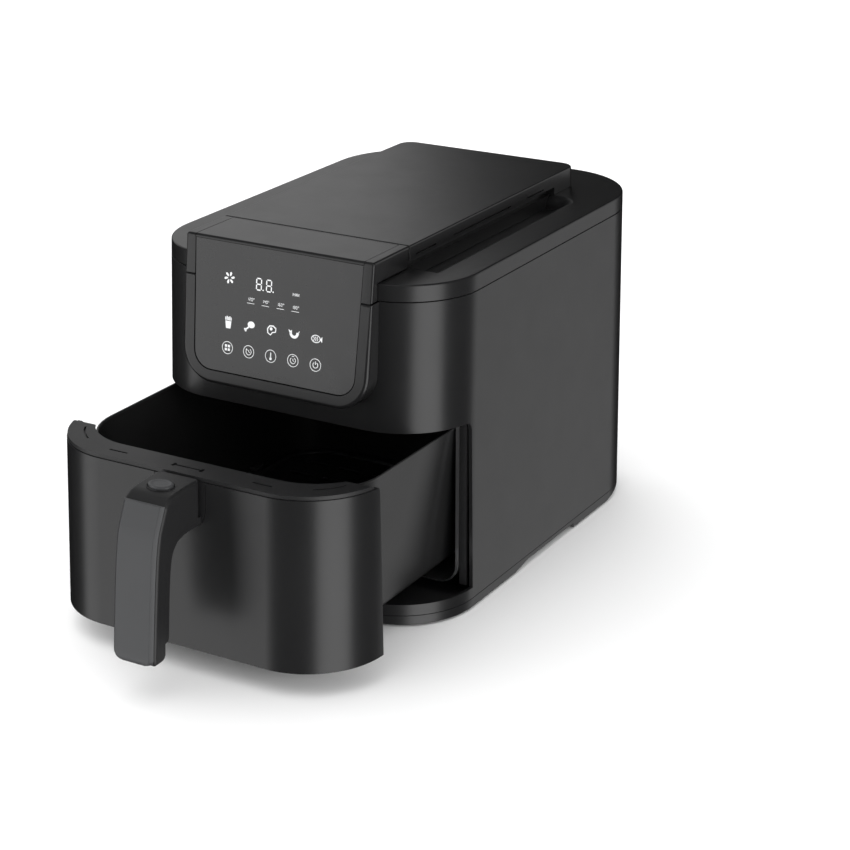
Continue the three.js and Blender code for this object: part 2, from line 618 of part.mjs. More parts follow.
function motorBracket() {
  const high = MOTOR_FOOT_Z - JOINT_GAP;
  let made = box(-78, 78, HEAD_Y - 20, HEAD_Y + 20, high - 2, high);
  for (const side of [-1, 1]) {
    const x0 = side > 0 ? 76 : -78;
    made = made.add(box(x0, x0 + 2, HEAD_Y - 20, HEAD_Y + 20, DOME_TOP_Z + JOINT_GAP, high));
  }
  return made.subtract(rod(SHAFT_RADIUS + 2, 0, HEAD_Y, 0, DECK_TOP, 20));
}
add(housing, "motor_bracket", motorBracket(), sheetSteel);
const cutout = rod(8, 0, HEAD_Y - 72, DOME_TOP_Z + JOINT_GAP, DOME_TOP_Z + 6, 20);
add(housing, "thermal_cutout", cutout, darkPlastic);

// ---------------------------------------------------------------- rear: exhaust grille and cord gland
function exhaustGrille() {
  let made = box(-VENT_HALF - 5, VENT_HALF + 5, REAR_Y - 6, REAR_Y - 3.5, VENT_LOW_Z - 5, VENT_HIGH_Z + 5);
  for (let z = VENT_LOW_Z + 3; z < VENT_HIGH_Z - 5; z += 8) {
    made = made.subtract(box(-VENT_HALF + 2, VENT_HALF - 2, REAR_Y - 9, REAR_Y, z, z + 4));
  }
  return made;
}
add(housing, "exhaust_grille", exhaustGrille(), darkPlastic);

function cordGland() {
  const outside = REAR_Y + SIDE_LEAN * (BODY_TOP - GLAND_Z);
  let made = rodY(GLAND_RADIUS, GLAND_X, GLAND_Z, outside - 9, outside + 2);
  made = made.add(rodY(GLAND_RADIUS + 3.5, GLAND_X, GLAND_Z, outside + 0.5, outside + 2.5));
  return made.subtract(rodY(3.8, GLAND_X, GLAND_Z, outside - 12, outside + 5));
}
add(housing, "cord_gland", cordGland(), rubber);

// ---------------------------------------------------------------- drawer front, trim and frame
const FRONT_LOW_Z = SILL_TOP + DRAWER_GAP;
const TRIM_TOP_Z = MOUTH_TOP - 1.5;
const TRIM_LOW_Z = TRIM_TOP_Z - TRIM_THICK;
const FRONT_TOP_Z = TRIM_LOW_Z - JOINT_GAP;
const FRONT_REAR_Y = MOUTH_REAR_Y - 0.8;
// The trim's ends stop before the liner's front edge when the drawer is shut.
const TRIM_REAR_Y = LINER_FRONT_Y - 0.8;
const FRAME_THICK = 2.5;
// Limits beyond the whole object, for cuts that pass right through.
const WIDE = 200;
const FAR = 400;
const bracketShape = (inset) => rounded(
  -BRACKET_HALF + inset, BRACKET_HALF - inset, BRACKET_FOOT_Z + inset, MOUTH_TOP + 20,
  [BRACKET_CORNER - inset, BRACKET_CORNER - inset, 0, 0]);

function basketPlan(grow) {
  const r = BASKET_CORNER + grow;
  const half = BASKET_RIM_HALF + grow;
  return rounded(-half, half, BASKET_FRONT_Y - grow, BASKET_REAR_Y + grow, [r, r, r, r]);
}

function drawerFront() {
  let made = lean(prism(plan(0), 0, BODY_TOP).subtract(prism(plan(FRONT_PANEL), -5, BODY_TOP + 5)));
  made = made.intersect(mouthBlock(FRONT_REAR_Y, FRONT_LOW_Z, TRIM_TOP_Z));
  made = made.subtract(box(-WIDE, WIDE, -FAR, 0, FRONT_TOP_Z, BODY_TOP));
  return made.subtract(slabY(bracketShape(0), FRONT_Y - 20, FRONT_Y + FRONT_PANEL + 5, 3));
}
add(drawer, "drawer_front", drawerFront(), shellPlastic);

// Finger slots in the trim, as pairs of X.
const SLOTS = [[-70, -54], [-14, 10], [54, 70]];

function drawerTrim() {
  let made = lean(prism(plan(0.6), TRIM_LOW_Z, TRIM_TOP_Z));
  made = made.intersect(mouthBlock(TRIM_REAR_Y, 0, TRIM_TOP_Z));
  made = made.subtract(prism(basketPlan(RIM_FLANGE + JOINT_GAP), 0, BODY_TOP));
  const y = bodyFrontY(TRIM_TOP_Z) + 11.5;
  for (const [x0, x1] of SLOTS) {
    made = made.subtract(box(x0, x1, y - 1, y + 1, TRIM_LOW_Z - 1, TRIM_TOP_Z + 1));
  }
  return made;
}
add(drawer, "drawer_trim", drawerTrim(), darkPlastic);

const HANDLE_SCREW_X = 13.5;
const HANDLE_SCREW_Z = 131;
const TONGUE_SIDE = TONGUE_HALF + 0.4;
const TONGUE_WAY_Z = [TONGUE_LOW_Z - 0.4, TONGUE_HIGH_Z + 0.4];

function withHandleHoles(made) {
  let bored = made.subtract(box(-TONGUE_SIDE, TONGUE_SIDE, -FAR, 0, ...TONGUE_WAY_Z));
  for (const side of [-1, 1]) {
    bored = bored.subtract(rodY(SCREW_HOLE, side * HANDLE_SCREW_X, HANDLE_SCREW_Z, -FAR, 0, 12));
  }
  return bored;
}

function drawerFrame() {
  const outer = FRONT_PANEL + JOINT_GAP;
  const region = box(-WIDE, WIDE, -FAR, FRONT_REAR_Y - 24, FRONT_LOW_Z + 2.5, FRONT_TOP_Z);
  const sheet = prism(plan(outer), 0, BODY_TOP).subtract(prism(plan(outer + FRAME_THICK), -5, BODY_TOP + 5));
  let made = lean(sheet.intersect(region));
  // Guide for the latch tongue, and ribs that stiffen the front.
  const frontY = bodyFrontY(TONGUE_LOW_Z) + outer + 1;
  made = made.add(box(-9, 9, frontY, BASKET_FRONT_Y - 6, TONGUE_LOW_Z - 3, TONGUE_HIGH_Z + 3));
  for (const x of [-48, 48]) {
    made = made.add(box(x - 1.2, x + 1.2, frontY, BASKET_FRONT_Y - 3, 40, FRONT_TOP_Z - 4));
  }
  return withHandleHoles(made);
}
add(drawer, "drawer_frame", drawerFrame(), darkPlastic);

// ---------------------------------------------------------------- basket and crisper plate
// The basket narrows towards its foot by its taper on every side.
function taper(made) {
  const middle = (BASKET_FRONT_Y + BASKET_REAR_Y) / 2;
  const halfLength = (BASKET_REAR_Y - BASKET_FRONT_Y) / 2;
  return reshape(made, (p) => {
    const draw = BASKET_TAPER * (BASKET_RIM_Z - p.z);
    p.x *= 1 - draw / BASKET_RIM_HALF;
    p.y = middle + (p.y - middle) * (1 - draw / halfLength);
  });
}

function basket() {
  const inside = taper(prism(basketPlan(-BASKET_WALL), BASKET_FOOT_Z + BASKET_WALL, BASKET_RIM_Z + 3));
  let made = taper(prism(basketPlan(0), BASKET_FOOT_Z, BASKET_RIM_Z));
  made = made.add(prism(basketPlan(RIM_FLANGE), BASKET_RIM_Z - 1.5, BASKET_RIM_Z));
  // Lug that the latch tongue holds down.
  const lugZ = [TONGUE_HIGH_Z + JOINT_GAP, TONGUE_HIGH_Z + 5];
  made = made.add(box(-8, 8, BASKET_FRONT_Y - 4.5, BASKET_FRONT_Y + 3, ...lugZ));
  return made.subtract(inside);
}
add(drawer, "basket", basket(), nonStick);

const PLATE_DRAW = BASKET_WALL + BASKET_TAPER * (BASKET_RIM_Z - PLATE_Z);
const PLATE_INSET = PLATE_DRAW + 2.2;
const PLATE_HALF = BASKET_RIM_HALF - PLATE_INSET;
const PLATE_FRONT_Y = BASKET_FRONT_Y + PLATE_INSET;
const PLATE_REAR_Y = BASKET_REAR_Y - PLATE_INSET;
const PLATE_CORNER = BASKET_CORNER - BASKET_WALL - 3.5;
const BUMPER_HALF = 7;
const BUMPER_Y = [PLATE_FRONT_Y + 70, PLATE_REAR_Y - 70];

function platePlan(inset) {
  const r = PLATE_CORNER - inset;
  const half = PLATE_HALF - inset;
  return rounded(-half, half, PLATE_FRONT_Y + inset, PLATE_REAR_Y - inset, [r, r, r, r]);
}

function crisperPlate() {
  let made = prism(platePlan(0), PLATE_Z, PLATE_Z + PLATE_THICK, 4);
  const rib = prism(platePlan(9), PLATE_Z + 1, PLATE_Z + 4, 4);
  made = made.add(rib.subtract(prism(platePlan(14), PLATE_Z, PLATE_Z + 6, 4)));
  // Air slots in rows, and the post that it is lifted by.
  const middle = (PLATE_FRONT_Y + PLATE_REAR_Y) / 2;
  for (let row = -4; row <= 4; row++) {
    for (let column = -2; column <= 2; column++) {
      const x = column * 32;
      const y = middle + row * 25;
      if (Math.hypot(x, y - middle) < 16) continue;
      made = made.subtract(box(x - 11, x + 11, y - 2.5, y + 2.5, PLATE_Z - 1, PLATE_Z + 3));
    }
  }
  made = made.add(rod(9, 0, middle, PLATE_Z + 1, PLATE_Z + 16, 20));
  for (const side of [-1, 1]) {
    for (const y of BUMPER_Y) {
      const [x0, x1] = mirrored(side, PLATE_HALF - 5, PLATE_HALF + 1);
      made = made.subtract(box(x0, x1, y - BUMPER_HALF, y + BUMPER_HALF, PLATE_Z - 1, PLATE_Z + 5));
    }
  }
  return made;
}
add(drawer, "crisper_plate", crisperPlate(), nonStick);

for (const [place, side, row] of corners) {
  const [x0, x1] = mirrored(side, PLATE_HALF - 5 + JOINT_GAP, PLATE_HALF + 1.4);
  const half = BUMPER_HALF - JOINT_GAP;
  const y = BUMPER_Y[row];
  const bumper = box(x0, x1, y - half, y + half, PLATE_Z - 2, PLATE_Z + 4);
  add(drawer, "plate_bumper_" + place, bumper, rubber);
}

// ---------------------------------------------------------------- handle, button and latch
// Side view of the handle's front face, as [Y, Z] from the top down.
const FACE = [
  [-259.5, 144.5], [-264.5, 134], [-268.6, 124.4], [-272.3, 107],
  [-276.1, 78.3], [-279.3, 49], [-280.4, 36], [-278.8, HANDLE_FOOT_Z],
];
const ROOT_Y = bodyFrontY(BRACKET_FOOT_Z) + 0.4;
const rootY = (z) => bodyFrontY(z) - 1 - JOINT_GAP;
const ROOT_FOOT_Z = 118.5;
const ROOT_TOP_Z = 150.5;
const back = (points, depth) => points.map(([y, z]) => [y + depth, z]);

function handleBracket() {
  let made = slabY(bracketShape(JOINT_GAP), FRONT_Y - 30, FRONT_Y + 30, 3);
  const low = BRACKET_FOOT_Z - 5;
  const between = polygon([
    [bodyFrontY(low) - 1, low],
    [bodyFrontY(low) + FRONT_PANEL, low],
    [bodyFrontY(FRONT_TOP_Z) + FRONT_PANEL, FRONT_TOP_Z],
    [bodyFrontY(FRONT_TOP_Z) - 1, FRONT_TOP_Z],
  ]);
  made = made.intersect(slabX(between, -100, 100));
  return withHandleHoles(made);
}
add(drawer, "handle_bracket", handleBracket(), darkPlastic);

function handleGrip() {
  const front = back(FACE, FACE_THICK + JOINT_GAP);
  const outline = new THREE.Shape();
  outline.moveTo(rootY(ROOT_TOP_Z), ROOT_TOP_Z);
  outline.lineTo(-246, 149.2);
  for (const [y, z] of front) outline.lineTo(y, z);
  outline.lineTo(-267, HANDLE_FOOT_Z);
  outline.quadraticCurveTo(-261.8, HANDLE_FOOT_Z, -261.5, 38);
  outline.lineTo(-260.6, 50);
  outline.lineTo(-253.5, 102);
  outline.quadraticCurveTo(-251, ROOT_FOOT_Z, -237, ROOT_FOOT_Z);
  outline.lineTo(rootY(ROOT_FOOT_Z), ROOT_FOOT_Z);
  outline.closePath();
  let made = slabX(outline, -HANDLE_HALF, HANDLE_HALF, 5);
  const pocket = new THREE.Shape();
  pocket.absellipse(0, BUTTON_Y, BUTTON_HALF_X + 0.5, BUTTON_HALF_Y + 0.5, 0, 2 * Math.PI, false);
  made = made.subtract(prism(pocket, BUTTON_POCKET_Z, BUTTON_TOP_Z + 5, 10));
  made = made.subtract(rod(3.4, 0, BUTTON_Y, TONGUE_LOW_Z, BUTTON_TOP_Z, 16));
  made = made.subtract(box(-TONGUE_SIDE, TONGUE_SIDE, BUTTON_Y - 12, 0, ...TONGUE_WAY_Z));
  for (const side of [-1, 1]) {
    made = made.subtract(rodY(SCREW_HOLE, side * HANDLE_SCREW_X, HANDLE_SCREW_Z, ROOT_Y - 12, 0, 12));
  }
  return made;
}
add(drawer, "handle_grip", handleGrip(), darkPlastic);

const faceShape = polygon([...FACE, ...back(FACE, FACE_THICK).reverse()]);
add(drawer, "handle_face", slabX(faceShape, -HANDLE_HALF + 1, HANDLE_HALF - 1), greyPlastic);

function releaseButton() {
  const cap = new THREE.Shape();
  cap.absellipse(0, BUTTON_Y, BUTTON_HALF_X, BUTTON_HALF_Y, 0, 2 * Math.PI, false);
  const stem = rod(2.8, 0, BUTTON_Y, TONGUE_HIGH_Z + 4, BUTTON_FOOT_Z + 1, 16);
  return prism(cap, BUTTON_FOOT_Z, BUTTON_TOP_Z, 10).add(stem);
}
add(drawer, "release_button", releaseButton(), greyPlastic);

// A return spring of four turns round the button's stem.
class Helix extends THREE.Curve {
  getPoint(t, target = new THREE.Vector3()) {
    const turn = t * 8 * Math.PI;
    const low = BUTTON_POCKET_Z + 0.8;
    const rise = BUTTON_FOOT_Z - 0.8 - low;
    return target.set(5 * Math.cos(turn), BUTTON_Y + 5 * Math.sin(turn), low + rise * t);
  }
}
const wire = new THREE.Shape();
wire.absarc(0, 0, 0.45, 0, 2 * Math.PI, false);
const spring = new THREE.ExtrudeGeometry(wire, { steps: 44, curveSegments: 3, extrudePath: new Helix() });
add(drawer, "button_spring", solid(spring), sheetSteel);

const tongue = box(-TONGUE_HALF, TONGUE_HALF, BUTTON_Y - 5, TONGUE_TIP_Y, TONGUE_LOW_Z, TONGUE_HIGH_Z);
add(drawer, "latch_tongue", tongue, darkPlastic);

for (const [name, side] of [["left", -1], ["right", 1]]) {
  const headY = bodyFrontY(HANDLE_SCREW_Z) + FRONT_PANEL + 3.2;
  const head = rodY(3.6, side * HANDLE_SCREW_X, HANDLE_SCREW_Z, headY, headY + 2.4, 16);
  const shank = rodY(SCREW_SHANK, side * HANDLE_SCREW_X, HANDLE_SCREW_Z, ROOT_Y - 10, headY + 1, 12);
  add(drawer, "handle_screw_" + name, head.add(shank), sheetSteel);
}

// ---------------------------------------------------------------- origin under the whole object's middle
const bounds = new THREE.Box3().setFromObject(fryer);
fryer.position.set(0, -(bounds.min.y + bounds.max.y) / 2, -bounds.min.z);

export default fryer;
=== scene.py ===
# The looks of a drawer air fryer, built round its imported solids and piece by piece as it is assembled.
# Outlines are drawn in millimetres, +X right, -Y to the front and +Z up, and a mesh is scaled to metres
# as it is made.
import math

import bmesh
import bpy
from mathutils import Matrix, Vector


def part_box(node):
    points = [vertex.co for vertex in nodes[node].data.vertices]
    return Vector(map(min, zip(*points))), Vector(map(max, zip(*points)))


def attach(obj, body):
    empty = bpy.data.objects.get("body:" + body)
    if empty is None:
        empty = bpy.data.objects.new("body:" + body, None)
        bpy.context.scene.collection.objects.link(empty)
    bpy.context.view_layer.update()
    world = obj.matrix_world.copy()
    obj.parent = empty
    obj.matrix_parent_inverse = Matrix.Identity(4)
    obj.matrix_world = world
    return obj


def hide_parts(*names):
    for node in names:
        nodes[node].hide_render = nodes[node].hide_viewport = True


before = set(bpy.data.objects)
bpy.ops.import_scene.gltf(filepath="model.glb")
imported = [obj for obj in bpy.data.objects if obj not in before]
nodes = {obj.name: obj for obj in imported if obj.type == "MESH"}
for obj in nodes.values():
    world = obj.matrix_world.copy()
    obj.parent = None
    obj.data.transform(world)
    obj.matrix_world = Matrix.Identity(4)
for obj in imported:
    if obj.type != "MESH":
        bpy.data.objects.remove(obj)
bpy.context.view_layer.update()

# ------------------------------------------------------------------------------------------ studio
# A pale floor that runs out of sight, and tall soft boxes round the object: one before its left, one to its
# right, one behind its right and a low one behind its left. A wide soft glow falls from high on the left.
CAMERA_PLACE = (0.8618, -1.3719, 0.7433)
CAMERA_AZIMUTH = 29.93
CAMERA_ELEVATION = 21.25
CAMERA_LENS = 93.68
FLOOR_SIZE = 14
WORLD_GLOW = 0.92

camera_data = bpy.data.cameras.new("camera")
camera_data.lens = CAMERA_LENS
camera = bpy.data.objects.new("camera", camera_data)
camera.location = CAMERA_PLACE
camera.rotation_euler = (math.radians(90 - CAMERA_ELEVATION), 0, math.radians(CAMERA_AZIMUTH))
bpy.context.scene.collection.objects.link(camera)
bpy.context.scene.camera = camera
bpy.context.scene.view_settings.view_transform = "Standard"

world = bpy.data.worlds.new("studio")
world.use_nodes = True
world.node_tree.nodes["Background"].inputs["Color"].default_value = (1, 1, 1, 1)
world.node_tree.nodes["Background"].inputs["Strength"].default_value = WORLD_GLOW
bpy.context.scene.world = world
world.cycles_visibility.glossy = False


def floor_paint():
    paint = bpy.data.materials.new("floor_paint")
    paint.use_nodes = True
    tree = paint.node_tree
    shader = tree.nodes["Principled BSDF"]
    shader.inputs["Roughness"].default_value = 0.9
    shader.inputs["Specular IOR Level"].default_value = 0.1
    mottle = tree.nodes.new("ShaderNodeTexNoise")
    mottle.inputs["Scale"].default_value = 3
    ramp = tree.nodes.new("ShaderNodeValToRGB")
    ramp.color_ramp.elements[0].color = (0.885, 0.885, 0.885, 1)
    ramp.color_ramp.elements[1].color = (0.905, 0.905, 0.905, 1)
    tree.links.new(mottle.outputs["Fac"], ramp.inputs["Fac"])
    tree.links.new(ramp.outputs["Color"], shader.inputs["Base Color"])
    return paint


floor_mesh = bmesh.new()
bmesh.ops.create_grid(floor_mesh, x_segments=8, y_segments=8, size=FLOOR_SIZE / 2)
floor_data = bpy.data.meshes.new("floor")
floor_mesh.to_mesh(floor_data)
floor_mesh.free()
floor = bpy.data.objects.new("floor", floor_data)
floor.data.materials.append(floor_paint())
bpy.context.scene.collection.objects.link(floor)
floor.visible_glossy = False
floor.visible_shadow = False


def soft_box(name, azimuth, elevation, distance, width, height, glow, mirrored=True):
    """A lamp panel that faces the object. Azimuth turns from front to right, and glow is its brightness."""
    turn, rise = math.radians(azimuth), math.radians(elevation)
    way = Vector((math.sin(turn) * math.cos(rise), -math.cos(turn) * math.cos(rise), math.sin(rise)))
    lamp = bpy.data.lights.new(name, "AREA")
    lamp.shape = "RECTANGLE"
    lamp.size = width
    lamp.size_y = height
    lamp.energy = glow * math.pi * width * height
    panel = bpy.data.objects.new(name, lamp)
    panel.location = way * distance + Vector((0, 0, 0.12))
    panel.rotation_euler = way.to_track_quat("Z", "Y").to_euler()
    panel.visible_glossy = mirrored
    panel.visible_camera = False
    bpy.context.scene.collection.objects.link(panel)


soft_box("box_front_left", -44, -12, 3.0, 2.2, 5.0, 1.5)
soft_box("box_right", 60, -12, 3.0, 2.2, 5.0, 2.5)
soft_box("box_rear_right", 148, -12, 3.0, 1.2, 5.0, 0.75)
soft_box("box_rear_left", -150, -30, 3.0, 1.6, 3.0, 0.9)
soft_box("box_high_left", -122, 27, 3.0, 3.2, 2.0, 0.72)
soft_box("box_high_front", 12, 62, 3.0, 2.0, 1.2, 0.8)

sky = bpy.data.lights.new("sky", "SUN")
sky.energy = 1.4
sky.angle = math.radians(85)
sky_lamp = bpy.data.objects.new("sky", sky)
sky_lamp.rotation_euler = (0, math.radians(-27), 0)
sky_lamp.visible_glossy = False
bpy.context.scene.collection.objects.link(sky_lamp)

# ------------------------------------------------------------------------------------------ housing shell
# The outer wall of the body, moulded in black plastic with a fine satin grain. It leans out towards the
# floor, and its mouth for the drawer has small rounded edges and rounded upper rear corners.
HALF_WIDTH = 130
FRONT_Y = -210.5
REAR_Y = 150
FRONT_CORNER = 60
REAR_CORNER = 72
BODY_TOP = 265
SIDE_LEAN = 0.0117
FRONT_LEAN = 0.049
WALL = 3
BASE_SEAM = 9
SILL_TOP = 18
MOUTH_TOP = 153
MOUTH_REAR_Y = -161
MOUTH_CORNER = 7
CAP_SEAM = 252
VENT_HALF = 42
VENT_LOW_Z = 168
VENT_HIGH_Z = 232
SEAM = 0.3

# The deck's rear edge and the basket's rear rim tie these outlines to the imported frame.
DECK_REAR_Y = 105.5
BASKET_REAR_Y = 111
RIM_FLANGE = 1.2
HOUSING_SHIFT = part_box("deck_panel")[1].y * 1000 - DECK_REAR_Y
DRAWER_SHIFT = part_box("basket")[1].y * 1000 - BASKET_REAR_Y - RIM_FLANGE


def leaned(x, y, z):
    """The housing's draft: the walls spread towards the floor."""
    drop = BODY_TOP - z
    share = (y - FRONT_Y) / (REAR_Y - FRONT_Y)
    spread = 1 + SIDE_LEAN * drop / HALF_WIDTH
    slope = share * SIDE_LEAN - (1 - share) * FRONT_LEAN
    return x * spread, y + drop * slope, z


def rounded(x0, x1, y0, y1, radii, steps=10, stops=()):
    """A rectangle with its own radius at each corner, from the low left one anticlockwise.
    Stops are extra heights in y that the corners also pass through."""
    points = []
    centres = [(x0 + radii[0], y0 + radii[0]), (x1 - radii[1], y0 + radii[1]),
               (x1 - radii[2], y1 - radii[2]), (x0 + radii[3], y1 - radii[3])]
    for corner, ((x, y), radius) in enumerate(zip(centres, radii)):
        start = math.pi + corner * math.pi / 2
        turns = [start + step * math.pi / 2 / steps for step in range(steps + 1)] if radius > 0 else [start]
        for stop in stops:
            if radius > 0 and abs(stop - y) < radius:
                turn = math.asin((stop - y) / radius)
                turn = turn % (2 * math.pi) if corner in (1, 2) else math.pi - turn
                turn = turn if turn >= start - 1e-6 else turn + 2 * math.pi
                if start < turn < start + math.pi / 2:
                    turns = [t for t in turns if abs(t - turn) > 0.012] + [turn]
        points += [(x + radius * math.cos(t), y + radius * math.sin(t)) for t in sorted(turns)]
    return points


def inset(outline, depth):
    """The same outline drawn in by a depth on every side."""
    drawn = []
    for i, (x, y) in enumerate(outline):
        before, after = outline[i - 1], outline[(i + 1) % len(outline)]
        a = Vector((x - before[0], y - before[1])).normalized()
        b = Vector((after[0] - x, after[1] - y)).normalized()
        side = Vector((-a.y - b.y, a.x + b.x))
        drawn.append((x + side.x * depth / (1 + a.dot(b)), y + side.y * depth / (1 + a.dot(b))))
    return drawn


def sheet_mesh(outside, inside, faces):
    """A closed sheet made of two matching skins, joined along their open edges."""
    mesh = bmesh.new()
    front = [mesh.verts.new(point) for point in outside]
    rear = [mesh.verts.new(point) for point in inside]
    edges = set()
    for face in faces:
        mesh.faces.new([front[i] for i in face])
        mesh.faces.new([rear[i] for i in reversed(face)])
        edges.update(zip(face, face[1:] + face[:1]))
    for a, b in edges:
        if (b, a) not in edges:
            mesh.faces.new([front[b], front[a], rear[a], rear[b]])
    bmesh.ops.recalc_face_normals(mesh, faces=mesh.faces)
    return mesh


def put(name, mesh, shift=HOUSING_SHIFT):
    """Makes an object of a mesh drawn in millimetres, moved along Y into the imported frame."""
    for vertex in mesh.verts:
        vertex.co = (vertex.co + Vector((0, shift, 0))) * 0.001
    mesh.normal_update()
    data = bpy.data.meshes.new(name)
    mesh.to_mesh(data)
    mesh.free()
    piece = bpy.data.objects.new(name, data)
    bpy.context.scene.collection.objects.link(piece)
    return piece


def loft(rings):
    """A closed solid through rings of equal count, with a flat face at each end."""
    mesh = bmesh.new()
    rows = [[mesh.verts.new(point) for point in ring] for ring in rings]
    for low, high in zip(rows, rows[1:]):
        for i in range(len(low)):
            j = (i + 1) % len(low)
            mesh.faces.new([low[i], low[j], high[j], high[i]])
    mesh.faces.new(list(reversed(rows[0])))
    mesh.faces.new(rows[-1])
    bmesh.ops.recalc_face_normals(mesh, faces=mesh.faces)
    return mesh


def settle(piece):
    """Applies the modifiers that a piece carries so far."""
    finished = bpy.data.meshes.new_from_object(piece.evaluated_get(bpy.context.evaluated_depsgraph_get()))
    piece.modifiers.clear()
    piece.data = finished


def carve(piece, cutter_mesh, shift=HOUSING_SHIFT):
    """Cuts a shape out of a piece."""
    cutter = put("cutter", cutter_mesh, shift)
    cut = piece.modifiers.new("cut", "BOOLEAN")
    cut.operation = "DIFFERENCE"
    cut.solver = "EXACT"
    cut.object = cutter
    settle(piece)
    bpy.data.objects.remove(cutter)


def soften(piece, width, segments=2, angle=35):
    """Rounds every edge of a piece that is sharper than an angle."""
    rounding = piece.modifiers.new("rounding", "BEVEL")
    rounding.width = width * 0.001
    rounding.segments = segments
    rounding.limit_method = "ANGLE"
    rounding.angle_limit = math.radians(angle)
    settle(piece)


def finish_piece(piece, body, slot, paint, *replaced, crease=32):
    """Shades a piece smoothly up to its creases, paints it and fixes it to its body."""
    piece.data.materials.clear()
    piece.data.materials.append(paint)
    piece.data.shade_smooth()
    piece.data.set_sharp_from_angle(angle=math.radians(crease))
    evened = piece.modifiers.new("evened", "WEIGHTED_NORMAL")
    evened.keep_sharp = True
    evened.weight = 80
    settle(piece)
    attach(piece, body)
    if replaced:
        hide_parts(*replaced)
    return piece


def satin_plastic(name, colour, roughness, spread=0.05, grain=1400, grain_depth=0.05, rub=0.03):
    """Moulded plastic: a fine spark-eroded grain, a slow drift in shade, and faint rubbed patches."""
    paint = bpy.data.materials.new(name)
    paint.use_nodes = True
    tree = paint.node_tree
    shader = tree.nodes["Principled BSDF"]
    shader.inputs["IOR"].default_value = 1.5
    place = tree.nodes.new("ShaderNodeTexCoord")
    drift = tree.nodes.new("ShaderNodeTexNoise")
    drift.inputs["Scale"].default_value = 9
    drift.inputs["Detail"].default_value = 3
    shade = tree.nodes.new("ShaderNodeValToRGB")
    shade.color_ramp.elements[0].position = 0.3
    shade.color_ramp.elements[1].position = 0.7
    shade.color_ramp.elements[0].color = [c * (1 - spread) for c in colour] + [1]
    shade.color_ramp.elements[1].color = [c * (1 + spread) for c in colour] + [1]
    patches = tree.nodes.new("ShaderNodeTexNoise")
    patches.inputs["Scale"].default_value = 38
    patches.inputs["Detail"].default_value = 5
    patches.inputs["Roughness"].default_value = 0.62
    gloss = tree.nodes.new("ShaderNodeMapRange")
    gloss.inputs["From Min"].default_value = 0.3
    gloss.inputs["From Max"].default_value = 0.7
    gloss.inputs["To Min"].default_value = roughness - rub / 2
    gloss.inputs["To Max"].default_value = roughness + rub / 2
    pits = tree.nodes.new("ShaderNodeTexNoise")
    pits.inputs["Scale"].default_value = grain
    pits.inputs["Detail"].default_value = 2
    bump = tree.nodes.new("ShaderNodeBump")
    bump.inputs["Strength"].default_value = grain_depth
    bump.inputs["Distance"].default_value = 0.0003
    link = tree.links.new
    for texture in (drift, patches, pits):
        link(place.outputs["Object"], texture.inputs["Vector"])
    link(drift.outputs["Fac"], shade.inputs["Fac"])
    link(shade.outputs["Color"], shader.inputs["Base Color"])
    link(patches.outputs["Fac"], gloss.inputs["Value"])
    link(gloss.outputs["Result"], shader.inputs["Roughness"])
    link(pits.outputs["Fac"], bump.inputs["Height"])
    link(bump.outputs["Normal"], shader.inputs["Normal"])
    return paint


BLACK = (0.0095, 0.0095, 0.0099)
shell_plastic = satin_plastic("shell_plastic", BLACK, 0.3)
dark_plastic = satin_plastic("dark_plastic", (0.011, 0.011, 0.0115), 0.46, grain_depth=0.1)


def housing_shell():
    outline = rounded(-HALF_WIDTH, HALF_WIDTH, FRONT_Y, REAR_Y,
                      [FRONT_CORNER, FRONT_CORNER, REAR_CORNER, REAR_CORNER], steps=24)
    # The rear wall is flat between its corners, and gets the vent's two side edges.
    last = next(i for i, (x, y) in enumerate(outline) if y > REAR_Y - 1e-6)
    outline[last + 1:last + 1] = [(VENT_HALF, REAR_Y), (-VENT_HALF, REAR_Y)]
    inner = inset(outline, WALL)
    count = len(outline)

    heights = [BASE_SEAM + SEAM, VENT_LOW_Z, VENT_HIGH_Z, CAP_SEAM - SEAM]
    outside = [leaned(x, y, z) for z in heights for x, y in outline]
    inside = [leaned(x, y, z) for z in heights for x, y in inner]
    faces = []
    for level in range(len(heights) - 1):
        for i in range(count):
            j = (i + 1) % count
            (x0, y0), (x1, y1) = outline[i], outline[j]
            vent = level == 1 and min(y0, y1) > REAR_Y - 1e-6 and max(abs(x0), abs(x1)) < VENT_HALF + 1e-6
            if not vent:
                a, b = level * count + i, level * count + j
                faces.append([a, b, b + count, a + count])
    return sheet_mesh(outside, inside, faces)


def before_edge(rear_y, low, high):
    """Everything forward of an upright edge, between two heights, with its upper rear corner rounded."""
    centre_y, centre_z = rear_y - MOUTH_CORNER, high - MOUTH_CORNER
    turns = [math.radians(15 * step) for step in range(7)]
    side_view = [(FRONT_Y - 60, low), (rear_y, low)]
    side_view += [(centre_y + MOUTH_CORNER * math.cos(t), centre_z + MOUTH_CORNER * math.sin(t))
                  for t in turns]
    side_view += [(FRONT_Y - 60, high)]
    return loft([[(x, y, z) for y, z in side_view] for x in (-HALF_WIDTH - 20, HALF_WIDTH + 20)])


shell = put("shell_wall", housing_shell())
carve(shell, before_edge(MOUTH_REAR_Y, SILL_TOP, MOUTH_TOP))
soften(shell, 0.7, 3)
finish_piece(shell, "housing", "shell_plastic", shell_plastic, "housing_shell")


